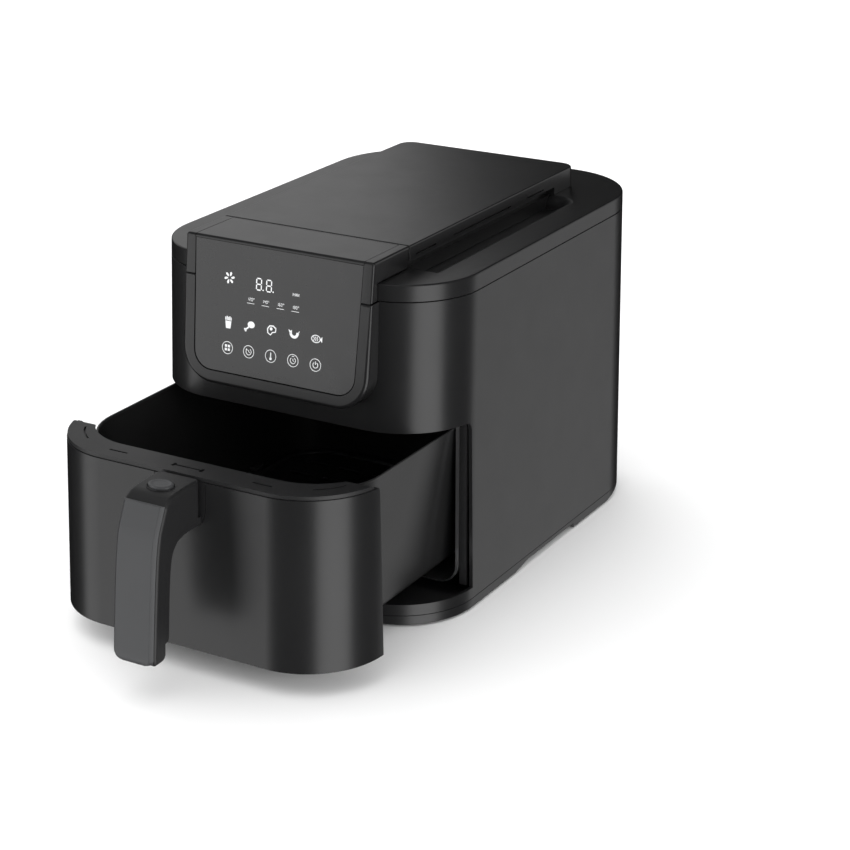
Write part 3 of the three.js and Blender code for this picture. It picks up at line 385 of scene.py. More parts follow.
# ------------------------------------------------------------------------------- sill, soffit and mouth lip
# Behind the front lip the shell closes inwards as a floor below the drawer and a ceiling above it. The
# steel liner ends in a narrow bright lip that follows the mouth.
def slab(outline, low, high, low_edge=0.4, high_edge=0.4, steps=3, place=lambda a, b, c: (a, b, c)):
    """A plate of an outline between two heights, with rounded edges. Place turns it to the object's axes."""
    turns = [step * math.pi / 2 / steps for step in range(steps + 1)]
    rings = [(low_edge * (1 - math.sin(t)), low + low_edge * (1 - math.cos(t))) for t in turns]
    rings += [(high_edge * (1 - math.cos(t)), high - high_edge * (1 - math.sin(t))) for t in turns]
    return loft([[place(a, b, height) for a, b in inset(outline, depth)] for depth, height in rings])


LINER_HALF = 119.8
LINER_FRONT_Y = -164.5
LINER_CORNER = 15
LIP_WIDTH = 2.4


def shelf(name, low, high):
    front = [(x, y) for x, y in inset(rounded(-HALF_WIDTH, HALF_WIDTH, FRONT_Y, REAR_Y,
             [FRONT_CORNER, FRONT_CORNER, REAR_CORNER, REAR_CORNER], steps=14, stops=[LINER_FRONT_Y - 1]),
             WALL - 0.6)
             if y <= LINER_FRONT_Y - 0.9]
    piece = put(name, slab(front, low, high, 0.3, 0.3, 2, leaned))
    return finish_piece(piece, "housing", "shell_plastic", shell_plastic)


shelf("sill_floor", SILL_TOP - 2.5, SILL_TOP - 0.05)
shelf("mouth_ceiling", MOUTH_TOP + 0.05, MOUTH_TOP + 2.5)


def coated_metal(name, colour, roughness, coat=0.0, metallic=0.0, flake=420, spread=0.12):
    """Sheet metal under a baked coating: a faint orange peel, and a drift in gloss where it is handled."""
    paint = bpy.data.materials.new(name)
    paint.use_nodes = True
    tree = paint.node_tree
    shader = tree.nodes["Principled BSDF"]
    shader.inputs["Metallic"].default_value = metallic
    shader.inputs["Coat Weight"].default_value = coat
    shader.inputs["Coat Roughness"].default_value = 0.25
    place = tree.nodes.new("ShaderNodeTexCoord")
    drift = tree.nodes.new("ShaderNodeTexNoise")
    drift.inputs["Scale"].default_value = 22
    drift.inputs["Detail"].default_value = 4
    shade = tree.nodes.new("ShaderNodeValToRGB")
    shade.color_ramp.elements[0].position = 0.25
    shade.color_ramp.elements[1].position = 0.75
    shade.color_ramp.elements[0].color = [c * (1 - spread) for c in colour] + [1]
    shade.color_ramp.elements[1].color = [c * (1 + spread) for c in colour] + [1]
    gloss = tree.nodes.new("ShaderNodeMapRange")
    gloss.inputs["To Min"].default_value = roughness - 0.05
    gloss.inputs["To Max"].default_value = roughness + 0.05
    peel = tree.nodes.new("ShaderNodeTexNoise")
    peel.inputs["Scale"].default_value = flake
    peel.inputs["Detail"].default_value = 1.5
    bump = tree.nodes.new("ShaderNodeBump")
    bump.inputs["Strength"].default_value = 0.12
    bump.inputs["Distance"].default_value = 0.0003
    link = tree.links.new
    for texture in (drift, peel):
        link(place.outputs["Object"], texture.inputs["Vector"])
    link(drift.outputs["Fac"], shade.inputs["Fac"])
    link(shade.outputs["Color"], shader.inputs["Base Color"])
    link(drift.outputs["Fac"], gloss.inputs["Value"])
    link(gloss.outputs["Result"], shader.inputs["Roughness"])
    link(peel.outputs["Fac"], bump.inputs["Height"])
    link(bump.outputs["Normal"], shader.inputs["Normal"])
    return paint


bare_steel = coated_metal("bare_steel", (0.52, 0.52, 0.53), 0.33, metallic=1.0, flake=900)


def liner_lip():
    low = SILL_TOP + 1.4
    high = MOUTH_TOP - 0.2
    inner = rounded(-LINER_HALF, LINER_HALF, low, high, [LINER_CORNER, LINER_CORNER, 3, 3], steps=6)
    outer = rounded(-LINER_HALF - LIP_WIDTH, LINER_HALF + LIP_WIDTH, low - 0.9, high + 0.1,
                    [LINER_CORNER + LIP_WIDTH, LINER_CORNER + LIP_WIDTH, 3, 3], steps=6)
    outer = [(x, max(min(z, high + 0.1), low - 0.9)) for x, z in outer]
    count = len(inner)
    ring = [(x, LINER_FRONT_Y - 0.8, z) for x, z in inner] + [(x, LINER_FRONT_Y - 0.8, z) for x, z in outer]
    back = [(x, LINER_FRONT_Y + 0.2, z) for x, y, z in ring]
    faces = [[i, (i + 1) % count, count + (i + 1) % count, count + i] for i in range(count)]
    return sheet_mesh(ring, back, faces)


lip = put("liner_lip", liner_lip())
finish_piece(lip, "housing", "coated_sheet", bare_steel)

# ------------------------------------------------------------------------------------------ base
# A separate black moulding screwed up into the shell. Its underside is raised between two pairs of pads,
# and the pads' rear ends are sloped.
FOOT_HEIGHT = 1.5
ARCH_HEIGHT = 5.5
FRONT_PAD_END = -95
REAR_PAD = (12, 72)
PAD_SLOPE = 26


def block(x0, x1, y0, y1, z0, z1):
    return loft([[(x0, y0, z), (x1, y0, z), (x1, y1, z), (x0, y1, z)] for z in (z0, z1)])


def bar(side_view, x0, x1):
    """A solid of one side view, given as y and z, between two widths."""
    return loft([[(x, y, z) for y, z in side_view] for x in (x0, x1)])


body_outline = rounded(-HALF_WIDTH, HALF_WIDTH, FRONT_Y, REAR_Y,
                       [FRONT_CORNER, FRONT_CORNER, REAR_CORNER, REAR_CORNER], steps=14)
base = put("base", slab(body_outline, FOOT_HEIGHT, BASE_SEAM, 0.9, 0.35, 3, leaned))
for start, end in ((FRONT_PAD_END, REAR_PAD[0]), (REAR_PAD[1], REAR_Y + 40)):
    carve(base, bar([(start, FOOT_HEIGHT - 3), (end, FOOT_HEIGHT - 3), (end, ARCH_HEIGHT),
                     (start + PAD_SLOPE, ARCH_HEIGHT),
                     (start, FOOT_HEIGHT)], -HALF_WIDTH - 20, HALF_WIDTH + 20))
finish_piece(base, "housing", "shell_plastic", shell_plastic, "base_plate")

# ------------------------------------------------------------------------------------------ top cover
# The lid of the body, with a small rounded top edge. A deep channel runs along each side of the deck and
# draws cooling air through slots in its floor: its outer side rolls up softly to the flat top.
TOP_EDGE = 1.5
CHANNEL_IN = 78
CHANNEL_OUT = 97
CHANNEL_FLOOR = 255
CHANNEL_FRONT_Y = -166.5
CHANNEL_REAR_Y = 58
CHANNEL_CORNER = 9
CHANNEL_ROLL = 9

cover = put("top_cover_lid", slab(body_outline, CAP_SEAM + SEAM, BODY_TOP, 0.35, TOP_EDGE, 4, leaned))


def channel(side):
    rings = []
    steps = 7
    levels = [(-1.2, CHANNEL_FLOOR), (-0.3, CHANNEL_FLOOR + 0.4), (0, CHANNEL_FLOOR + 1.2)]
    for step in range(steps + 1):
        turn = step * math.pi / 2 / steps
        levels.append((CHANNEL_ROLL * (1 - math.cos(turn)), BODY_TOP - CHANNEL_ROLL * (1 - math.sin(turn))))
    levels = [level for level in levels if level[0] <= 0 or level[1] > CHANNEL_FLOOR + 1.2]
    levels.append((CHANNEL_ROLL, BODY_TOP + 6))
    for grow, z in levels:
        radius = CHANNEL_CORNER + max(grow, 0)
        ring = rounded(CHANNEL_IN - min(grow, 0), CHANNEL_OUT + grow, CHANNEL_FRONT_Y - min(grow, 0),
                       CHANNEL_REAR_Y + grow, [0, 0, radius, 0], steps=8)
        ring = [(side * x, y, z) for x, y in ring]
        rings.append(ring if side > 0 else ring[::-1])
    return loft(rings)


for side in (-1, 1):
    carve(cover, channel(side))
carve(cover, block(-62, 62, CHANNEL_FRONT_Y + 15, DECK_REAR_Y - 18, CAP_SEAM - 4, BODY_TOP - 2.5))
finish_piece(cover, "housing", "shell_plastic", shell_plastic, "top_cover", crease=26)

# ------------------------------------------------------------------------------------------ deck
# The raised lid that covers the motor: a flat plate with rounded rear corners, whose sides hang over the
# channels as a lip. Three thin slots run along each flank.
DECK_TOP = 282
DECK_HALF = 81.5
DECK_SPLIT_Y = -167
DECK_CORNER = 12
DECK_EDGE = 1.3
LIP_Z = 271.6
LIP_REAR_Y = 66
WEB_HALF = 74
FLANK_SLOTS = ((-158, -128), (-101, -9), (18, 47))

deck_outline = rounded(-DECK_HALF, DECK_HALF, DECK_SPLIT_Y + SEAM, DECK_REAR_Y,
                       [0.6, 0.6, DECK_CORNER, DECK_CORNER], steps=8)
deck = put("deck", slab(deck_outline, BODY_TOP + 0.1, DECK_TOP, 0.2, DECK_EDGE, 4))
for side in (-1, 1):
    x0, x1 = sorted((side * WEB_HALF, side * (DECK_HALF + 3)))
    carve(deck, block(x0, x1, DECK_SPLIT_Y - 5, LIP_REAR_Y, BODY_TOP - 5, LIP_Z))
    for y0, y1 in FLANK_SLOTS:
        carve(deck, block(side * DECK_HALF - 2.2, side * DECK_HALF + 2.2, y0, y1, LIP_Z + 1.7, LIP_Z + 2.7))
finish_piece(deck, "housing", "shell_plastic", shell_plastic, "deck_panel")

# -------------------------------------------------------------------------------------- hood and its insert
# The front end of the deck, which leans back with the panel and carries the top of the glass. A thin
# plate is snapped into its top and rolls over the front edge.
PANEL_TOP_Y = -216.6
PANEL_SLOPE = 0.125
GLASS_HALF_TOP = 73
GLASS_HALF_FOOT = 70.7
GLASS_FOOT_Z = 181.5
GLASS_TOP_Z = 279.2
GLASS_CORNER = 15
GLASS_THICK = 2.4
GLASS_RECESS = 0.4
INSERT_THICK = 2.6
HOOD_EDGE = 1.8


def panel_y(z):
    """The panel's tilted front plane."""
    return PANEL_TOP_Y - PANEL_SLOPE * (DECK_TOP - z)


def arc(y, z, radius, start, end, steps=5):
    turns = [math.radians(start + (end - start) * step / steps) for step in range(steps + 1)]
    return [(y + radius * math.cos(t), z + radius * math.sin(t)) for t in turns]


def glass_outline(depth, top):
    radius = GLASS_CORNER - depth
    foot, head, low = GLASS_HALF_FOOT - depth, GLASS_HALF_TOP - depth, GLASS_FOOT_Z + depth
    return (arc(-foot + radius, low + radius, radius, 180, 270, 8)
            + arc(foot - radius, low + radius, radius, 270, 360, 8)
            + [(head, top), (-head, top)])


hood_rear = DECK_SPLIT_Y - SEAM
hood_low = CAP_SEAM + SEAM
hood_view = ([(panel_y(hood_low), hood_low), (FRONT_Y - 1.4, hood_low), (FRONT_Y - 1.4, BODY_TOP + 0.1),
              (hood_rear, BODY_TOP + 0.1), (hood_rear, DECK_TOP)]
             + arc(panel_y(DECK_TOP) + 2.2, DECK_TOP - 2.4, 2.4, 90, 172))
hood = put("hood_frame",
           slab([(y, z) for y, z in hood_view], -DECK_HALF, DECK_HALF, HOOD_EDGE, HOOD_EDGE, 3,
                              lambda a, b, c: (c, a, b)))


def along_panel(x, z, depth):
    """A point on the panel: how far to the side, how high, and how deep behind its front plane."""
    return x, panel_y(z) + depth, z


seat_half = GLASS_HALF_TOP + SEAM
carve(hood, slab(inset(glass_outline(0, DECK_TOP + 9), -SEAM), -30, GLASS_RECESS + GLASS_THICK + SEAM, 0.01,
                 0.01, 1, lambda a, b, c: along_panel(a, b, c)))
carve(hood, block(-seat_half, seat_half, PANEL_TOP_Y - 20, hood_rear - 0.9, DECK_TOP - INSERT_THICK,
                  DECK_TOP + 6))
finish_piece(hood, "housing", "shell_plastic", shell_plastic, "hood")

insert_low = GLASS_TOP_Z + SEAM
insert_front = panel_y(insert_low)
insert_view = ([(insert_front + 0.2, insert_low), (hood_rear - 1.3, insert_low),
                (hood_rear - 1.3, DECK_TOP)]
               + arc(insert_front + 2.4, DECK_TOP - 2.2, 2.2, 90, 176))
insert = put("hood_plate",
             slab(insert_view, -GLASS_HALF_TOP, GLASS_HALF_TOP, 0.3, 0.3, 2, lambda a, b, c: (c, a, b)))
finish_piece(insert, "housing", "shell_plastic", shell_plastic, "hood_insert")

# ------------------------------------------------------------------------------------ panel frame and glass
# The frame below the hood carries on its two side strips and closes round under the glass. The glass is
# one black pane, smoked on its back, and its symbols are printed in white.
BEZEL_FOOT_Z = 171
BEZEL_CORNER = 27
BEZEL_EDGE = 3.2

bezel_outline = rounded(-DECK_HALF, DECK_HALF, BEZEL_FOOT_Z, CAP_SEAM - SEAM,
                        [BEZEL_CORNER, BEZEL_CORNER, 0, 0], steps=10)


def bezel_mesh():
    """Its front edge is rounded along the sides and foot, but runs straight on into the hood at the top."""
    rings = []
    steps = 5
    for step in range(steps + 1):
        turn = step * math.pi / 2 / steps
        depth = BEZEL_EDGE * (1 - math.sin(turn))
        drawn = BEZEL_EDGE * (1 - math.cos(turn))
        # The side strips keep the hood's smaller edge, which the foot's larger one runs into.
        ring = []
        for (x, z), (x_in, z_in) in zip(bezel_outline, inset(bezel_outline, drawn)):
            share = min(max((BEZEL_FOOT_Z + 2 * BEZEL_CORNER - z) / BEZEL_CORNER, 0), 1)
            small = HOOD_EDGE / BEZEL_EDGE
            scale = small + (1 - small) * share
            ring.append((x + (x_in - x) * scale, min(z + (z_in - z) * scale, CAP_SEAM - SEAM),
                         depth * scale))
        rings.append(ring)
    front = [[along_panel(*point) for point in ring] for ring in rings]
    back = [[(x, FRONT_Y - FRONT_LEAN * (BODY_TOP - z) + 0.5, z) for x, z in bezel_outline]]
    return loft(back + front)


bezel = put("panel_frame", bezel_mesh())
carve(bezel, slab(inset(glass_outline(0, DECK_TOP + 9), -SEAM), -30, GLASS_RECESS + GLASS_THICK + SEAM,
                  0.01, 0.01, 1, along_panel))
finish_piece(bezel, "housing", "shell_plastic", shell_plastic, "panel_bezel")


def smoked_glass():
    """Polished black glass with a faint film of finger marks."""
    paint = bpy.data.materials.new("panel_glass")
    paint.use_nodes = True
    tree = paint.node_tree
    shader = tree.nodes["Principled BSDF"]
    shader.inputs["IOR"].default_value = 1.52
    place = tree.nodes.new("ShaderNodeTexCoord")
    film = tree.nodes.new("ShaderNodeTexNoise")
    film.inputs["Scale"].default_value = 26
    film.inputs["Detail"].default_value = 6
    film.inputs["Roughness"].default_value = 0.7
    gloss = tree.nodes.new("ShaderNodeMapRange")
    gloss.inputs["From Min"].default_value = 0.35
    gloss.inputs["From Max"].default_value = 0.7
    gloss.inputs["To Min"].default_value = 0.16
    gloss.inputs["To Max"].default_value = 0.24
    shade = tree.nodes.new("ShaderNodeValToRGB")
    shade.color_ramp.elements[0].color = (0.014, 0.014, 0.0145, 1)
    shade.color_ramp.elements[1].color = (0.018, 0.018, 0.0185, 1)
    link = tree.links.new
    link(place.outputs["Object"], film.inputs["Vector"])
    link(film.outputs["Fac"], gloss.inputs["Value"])
    link(gloss.outputs["Result"], shader.inputs["Roughness"])
    link(film.outputs["Fac"], shade.inputs["Fac"])
    link(shade.outputs["Color"], shader.inputs["Base Color"])
    return paint


glass = put("panel_pane",
            slab(glass_outline(SEAM, GLASS_TOP_Z), GLASS_RECESS, GLASS_RECESS + GLASS_THICK, 0.35, 0.35, 2,
                               along_panel))
finish_piece(glass, "housing", "panel_glass", smoked_glass(), "panel_glass")

# ------------------------------------------------------------------------------------------ panel printing
# Symbols printed in white on the pane: a fan, two figures with their points, a row of small temperatures,
# five foods, and five ringed keys. Each is a thin layer of ink.
INK = 0.14
INK_DEPTH = GLASS_RECESS - INK


def printed(points):
    """A patch of ink with one outline, given across and up the panel."""
    return loft([[along_panel(x, z, INK_DEPTH + d) for x, z in points] for d in (0, INK)])


def stroke(points, width, closed=False):
    """A line of ink along points."""
    edge = []
    count = len(points)
    for i, (x, z) in enumerate(points):
        before = points[i - 1] if i or closed else points[i]
        after = points[(i + 1) % count] if i < count - 1 or closed else points[i]
        way = Vector((after[0] - before[0], after[1] - before[1])).normalized() * width / 2
        edge.append(((x - way.y, z + way.x), (x + way.y, z - way.x)))
    top = [along_panel(x, z, INK_DEPTH) for pair in edge for x, z in pair]
    low = [along_panel(x, z, INK_DEPTH + INK) for pair in edge for x, z in pair]
    spans = range(count if closed else count - 1)
    faces = [[2 * i, 2 * i + 1, (2 * i + 3) % (2 * count), (2 * i + 2) % (2 * count)] for i in spans]
    return sheet_mesh(top, low, faces)


def circle(x, z, radius, steps=28, start=0, end=360, squash=1):
    turns = [math.radians(start + (end - start) * step / steps)
             for step in range(steps + (end - start < 360))]
    return [(x + radius * math.cos(t), z + radius * squash * math.sin(t)) for t in turns]


SEGMENTS = {"0": "abcdef", "1": "bc", "2": "abged", "4": "fgbc", "6": "afgedc", "8": "abcdefg",
            "9": "abcdfg"}


def figure(sign, x, z, height, width):
    """A seven segment figure, drawn from its lower left corner."""
    across = height * 0.5
    gap = width * 0.62
    bars = {"a": ((gap, height), (across - gap, height)),
            "g": ((gap, height / 2), (across - gap, height / 2)),
            "d": ((gap, 0), (across - gap, 0)), "f": ((0, height / 2 + gap), (0, height - gap)),
            "b": ((across, height / 2 + gap), (across, height - gap)),
            "e": ((0, gap), (0, height / 2 - gap)), "c": ((across, gap), (across, height / 2 - gap))}
    return [stroke([(x + dx, z + dz) for dx, dz in bars[bar_name]], width) for bar_name in SEGMENTS[sign]]


def key_ring(x, z, radius=4.6):
    return stroke(circle(x, z, radius, 40), 0.42, closed=True)


ink = []
fan_x, fan_z = -41.5, BODY_TOP - 11.8
for petal in range(6):
    turn = math.radians(60 * petal + 12)
    swept = [(1.3, -0.2), (2.3, -0.95), (4.0, -0.95), (4.7, 0.05), (3.9, 0.75), (2.5, 0.5), (1.4, 0.25)]
    ink.append(printed([(fan_x + a * math.cos(turn) - b * math.sin(turn),
                         fan_z + a * math.sin(turn) + b * math.cos(turn))
                        for a, b in swept]))
FIGURE_Z = BODY_TOP - 17
for x in (-17.5, -8.7):
    ink += figure("8", x, FIGURE_Z, 8.5, 0.85)
    ink.append(printed(circle(x + 5.9, FIGURE_Z + 0.3, 0.55, 12)))
for letter in ([(0, 0), (0, 2), (0.9, 0.9), (1.8, 2), (1.8, 0)], [(2.8, 0), (2.8, 2)],
               [(3.8, 0), (3.8, 2), (5.2, 0), (5.2, 2)]):
    ink.append(stroke([(14.5 + x, BODY_TOP - 16.6 + z) for x, z in letter], 0.42))
for x, number in ((-22, "120"), (-9, "140"), (4, "160"), (17, "180")):
    for place, sign in enumerate(number):
        ink += figure(sign, x - 2.9 + place * 1.75, BODY_TOP - 26, 2.1, 0.34)
    ink.append(stroke(circle(x + 2.7, BODY_TOP - 24.2, 0.38, 10), 0.2, closed=True))
    ink.append(stroke([(x - 3.2, BODY_TOP - 28), (x + 3.2, BODY_TOP - 28)], 0.3))

# Foods: a carton of chips, a drumstick, a steak, a prawn and a fish.
FOOD_Z = BODY_TOP - 45
x = -41
ink.append(printed([(x - 2.7, FOOD_Z + 0.9), (x - 2, FOOD_Z - 4.6), (x + 2, FOOD_Z - 4.6),
                    (x + 2.7, FOOD_Z + 0.9)]))
for chip in range(5):
    left = x - 2.9 + chip * 1.2
    ink.append(printed([(left, FOOD_Z + 1.4), (left + 0.85, FOOD_Z + 1.4),
                        (left + 0.85, FOOD_Z + 3.8 + 0.7 * (chip % 2)),
                        (left, FOOD_Z + 3.8 + 0.7 * (chip % 2))]))
x = -22
ink.append(printed(circle(x + 1.3, FOOD_Z + 1.2, 3.1, 20, squash=0.8)))
ink.append(stroke([(x - 0.8, FOOD_Z - 0.7), (x - 3.6, FOOD_Z - 3.1)], 1.1))
ink.append(printed(circle(x - 4.1, FOOD_Z - 2.7, 0.8, 12)))
ink.append(printed(circle(x - 3.4, FOOD_Z - 3.7, 0.8, 12)))
x = -2.5
ink.append(stroke([(x - 3.4, FOOD_Z - 2.2), (x - 3.7, FOOD_Z + 0.8), (x - 2, FOOD_Z + 3.1),
                   (x + 1.2, FOOD_Z + 3.4),
                   (x + 3.6, FOOD_Z + 1.8), (x + 3.2, FOOD_Z - 0.9), (x + 0.6, FOOD_Z - 1.5),
                   (x - 1, FOOD_Z - 3.6)],
                  0.9, closed=True))
ink.append(printed(circle(x - 0.6, FOOD_Z + 1, 1.2, 14)))
x = 17
ink.append(stroke(circle(x, FOOD_Z + 1.2, 3, 14, 190, 372), 2.1))
ink.append(printed([(x - 3.9, FOOD_Z + 0.9), (x - 5, FOOD_Z + 3.4), (x - 3.3, FOOD_Z + 2.4),
                    (x - 2, FOOD_Z + 3.2), (x - 2, FOOD_Z + 0.9)]))
ink.append(stroke([(x + 3.2, FOOD_Z + 1.4), (x + 4.6, FOOD_Z + 3)], 0.5))
x = 36.5
ink.append(stroke(circle(x - 0.6, FOOD_Z, 3.7, 24, squash=0.72), 0.6, closed=True))
ink.append(printed([(x + 2.9, FOOD_Z), (x + 4.8, FOOD_Z + 2.2), (x + 4.8, FOOD_Z - 2.2)]))
for rib in (-2.2, -0.7, 0.8):
    ink.append(stroke([(x + rib - 0.5, FOOD_Z + 1.6), (x + rib + 0.3, FOOD_Z),
                       (x + rib - 0.5, FOOD_Z - 1.6)], 0.5))

# Keys: the menu, a clock set back, the temperature, the timer and the power.
KEY_Z = BODY_TOP - 64.3
for x in (-41, -22, -2.5, 17, 36.5):
    ink.append(key_ring(x, KEY_Z))
for a in (-1, 1):
    for b in (-1, 1):
        ink.append(printed([(-41 + a * 1.35 + i * 0.95, KEY_Z + b * 1.35 + j * 0.95)
                            for i, j in ((-1, -1), (1, -1), (1, 1), (-1, 1))]))
for x in (-22, 17):
    ink.append(stroke(circle(x, KEY_Z, 2.3, 20, 130, 420), 0.45))
    ink.append(stroke([(x, KEY_Z + 1.4), (x, KEY_Z), (x + 1.1, KEY_Z - 0.5)], 0.4))
ink.append(printed([(-23.9, KEY_Z + 2.5), (-22.9, KEY_Z + 0.9), (-24.6, KEY_Z + 1.1)]))
ink.append(stroke([(-2.5, KEY_Z - 1.4), (-2.5, KEY_Z + 2.7)], 0.75))
ink.append(printed(circle(-2.5, KEY_Z - 1.9, 1.05, 14)))
ink.append(stroke([(16, KEY_Z + 3.1), (18, KEY_Z + 3.1)], 0.45))
ink.append(stroke(circle(36.5, KEY_Z - 0.1, 2.1, 18, 122, 418), 0.5))
ink.append(stroke([(36.5, KEY_Z + 0.3), (36.5, KEY_Z + 2.7)], 0.5))


def gather(meshes):
    """One mesh of several."""
    whole = bmesh.new()
    for mesh in meshes:
        held = bpy.data.meshes.new("held")
        mesh.to_mesh(held)
        mesh.free()
        whole.from_mesh(held)
        bpy.data.meshes.remove(held)
    return whole


white_ink = satin_plastic("white_ink", (0.78, 0.79, 0.8), 0.5, spread=0.02, grain=900, grain_depth=0.02)
symbols = put("panel_symbols", gather(ink))
finish_piece(symbols, "housing", "panel_glass", white_ink)

# ------------------------------------------------------------------------------------------ drawer front
# A curved wall in the same black plastic as the shell, whose upper rear corners are rounded to suit the
# mouth. A cut-out in its top edge takes the bracket that carries the handle.
FRONT_PANEL = 3.5
FRONT_LOW = SILL_TOP + 1.3
TRIM_TOP = MOUTH_TOP - 1.5
TRIM_THICK = 2.9
FRONT_TOP = TRIM_TOP - TRIM_THICK - SEAM
FRONT_REAR_Y = MOUTH_REAR_Y - 0.8
BRACKET_HALF = 22
BRACKET_FOOT_Z = 112
BRACKET_CORNER = 16


def bent_wall(low, high):
    """A wall along the front of the body's outline."""
    outline = rounded(-HALF_WIDTH, HALF_WIDTH, FRONT_Y, REAR_Y,
                      [FRONT_CORNER, FRONT_CORNER, REAR_CORNER, REAR_CORNER], steps=24)
    inner = inset(outline, FRONT_PANEL)
    keep = [i for i, point in enumerate(outline) if point[1] <= FRONT_REAR_Y + 40]
    outside, inside = [], []
    for z in (low, high):
        outside += [leaned(*outline[i], z) for i in keep]
        inside += [leaned(*inner[i], z) for i in keep]
    count = len(keep)
    return sheet_mesh(outside, inside, [[i, i + 1, count + i + 1, count + i] for i in range(count - 1)])


def on_front(x, z, depth):
    """A point on the drawer's front plane."""
    return x, FRONT_Y - FRONT_LEAN * (BODY_TOP - z) + depth, z


def bracket_outline(depth, top):
    half, radius = BRACKET_HALF - depth, BRACKET_CORNER - depth
    return rounded(-half, half, BRACKET_FOOT_Z + depth, top, [radius, radius, 0, 0], steps=8)


def keep_before_edge(piece, rear_y, low, high):
    """Leaves only what lies forward of the upright edge."""
    limit = put("limit", before_edge(rear_y, low, high), DRAWER_SHIFT)
    cut = piece.modifiers.new("cut", "BOOLEAN")
    cut.operation = "INTERSECT"
    cut.solver = "EXACT"
    cut.object = limit
    settle(piece)
    bpy.data.objects.remove(limit)


front = put("drawer_wall", bent_wall(FRONT_LOW, FRONT_TOP), DRAWER_SHIFT)
keep_before_edge(front, FRONT_REAR_Y, FRONT_LOW - 5, TRIM_TOP)
soften(front, 0.8, 3)
carve(front, slab(bracket_outline(0, TRIM_TOP + 6), -9, FRONT_PANEL + 6, 0.01, 0.01, 1, on_front),
      DRAWER_SHIFT)
finish_piece(front, "drawer", "shell_plastic", shell_plastic, "drawer_front")

# ------------------------------------------------------------------------------------------ drawer trim
# A black frame that closes the gap between the front wall and the basket's rim. It has finger slots in
# its top and its ends step down into hooks.
BASKET_HALF = 117.5
BASKET_FRONT_Y = -190.5
BASKET_CORNER = 50
TOP_SLOTS = ((-70, -54), (-14, 10), (54, 70))


def basket_plan(grow, steps=12):
    radius = BASKET_CORNER + grow
    return rounded(-BASKET_HALF - grow, BASKET_HALF + grow, BASKET_FRONT_Y - grow, BASKET_REAR_Y + grow,
                   [radius] * 4, steps=steps)


def trim_outline():
    outer = inset(rounded(-HALF_WIDTH, HALF_WIDTH, FRONT_Y, REAR_Y,
                          [FRONT_CORNER, FRONT_CORNER, REAR_CORNER, REAR_CORNER], steps=24), 0.6)
    outer = [leaned(x, y, TRIM_TOP)[:2] for x, y in outer if y <= FRONT_REAR_Y + 8]
    inner = [(x, y) for x, y in basket_plan(RIM_FLANGE + SEAM, 20) if y <= FRONT_REAR_Y + 4]
    return outer + inner[::-1]


trim = put("drawer_rim", slab(trim_outline(), TRIM_TOP - TRIM_THICK, TRIM_TOP, 0.01, 0.01, 1), DRAWER_SHIFT)
keep_before_edge(trim, LINER_FRONT_Y - 0.8, FRONT_LOW, TRIM_TOP)
soften(trim, 0.5, 3)
slot_y = FRONT_Y - FRONT_LEAN * (BODY_TOP - TRIM_TOP) + 11.5
for x0, x1 in TOP_SLOTS:
    carve(trim, block(x0, x1, slot_y - 0.9, slot_y + 0.9, TRIM_TOP - 1.6, TRIM_TOP + 1), DRAWER_SHIFT)
for notch_x in (-13, 11):
    carve(trim, block(notch_x - 1.2, notch_x + 1.2, slot_y - 2.6, slot_y + 2.6, TRIM_TOP - 1.6,
                      TRIM_TOP + 1), DRAWER_SHIFT)
for side in (-1, 1):
    curve = circle(side * (HALF_WIDTH - FRONT_CORNER), FRONT_Y + FRONT_CORNER - 4.5, FRONT_CORNER - 11, 9,
                   *((208, 236) if side < 0 else (304, 332)))
    ahead = [(x, y) for x, y in curve]
    behind = [(x - side * 1.0, y + 1.2) for x, y in curve]
    carve(trim, loft([[(x, y, z) for x, y in ahead + behind[::-1]]
                      for z in (TRIM_TOP - 1.6, TRIM_TOP + 1)]), DRAWER_SHIFT)
finish_piece(trim, "drawer", "dark_plastic", dark_plastic, "drawer_trim")

# ------------------------------------------------------------------------------------------ basket
# One deep drawing of sheet metal with a black non-stick coat. Its walls taper to a rounded foot, and its
# rim is folded outwards.
BASKET_RIM_Z = 147
BASKET_FOOT_Z = 29
BASKET_TAPER = 0.107
BASKET_WALL = 1
FOOT_RADIUS = 7

nonstick = coated_metal("nonstick", (0.012, 0.012, 0.0122), 0.36, flake=520)


def tapered(x, y, z):
    """The basket's draft towards its foot."""
    draw = BASKET_TAPER * (BASKET_RIM_Z - z)
    middle = (BASKET_FRONT_Y + BASKET_REAR_Y) / 2
    half = (BASKET_REAR_Y - BASKET_FRONT_Y) / 2
    return x * (1 - draw / BASKET_HALF), middle + (y - middle) * (1 - draw / half), z


def basket_mesh():
    turns = [step * math.pi / 2 / 6 for step in range(7)]
    outside = [(-FOOT_RADIUS * (1 - math.sin(t)), BASKET_FOOT_Z + FOOT_RADIUS * (1 - math.cos(t)))
               for t in turns]
    rim = [(0, BASKET_RIM_Z - 2), (0.3, BASKET_RIM_Z - 1.5), (RIM_FLANGE - 0.2, BASKET_RIM_Z - 1.5),
           (RIM_FLANGE, BASKET_RIM_Z - 1.2), (RIM_FLANGE, BASKET_RIM_Z - 0.4),
           (RIM_FLANGE - 0.4, BASKET_RIM_Z), (-0.2, BASKET_RIM_Z), (-BASKET_WALL, BASKET_RIM_Z - 1)]
    inside = [(-BASKET_WALL - (FOOT_RADIUS - 1) * (1 - math.sin(t)),
               BASKET_FOOT_Z + BASKET_WALL + (FOOT_RADIUS - 1) * (1 - math.cos(t)))
               for t in reversed(turns)]
    return loft([[tapered(x, y, z) for x, y in basket_plan(grow)] for grow, z in outside + rim + inside])


tub = put("basket_tub", basket_mesh(), DRAWER_SHIFT)
finish_piece(tub, "drawer", "coated_sheet", nonstick, "basket")

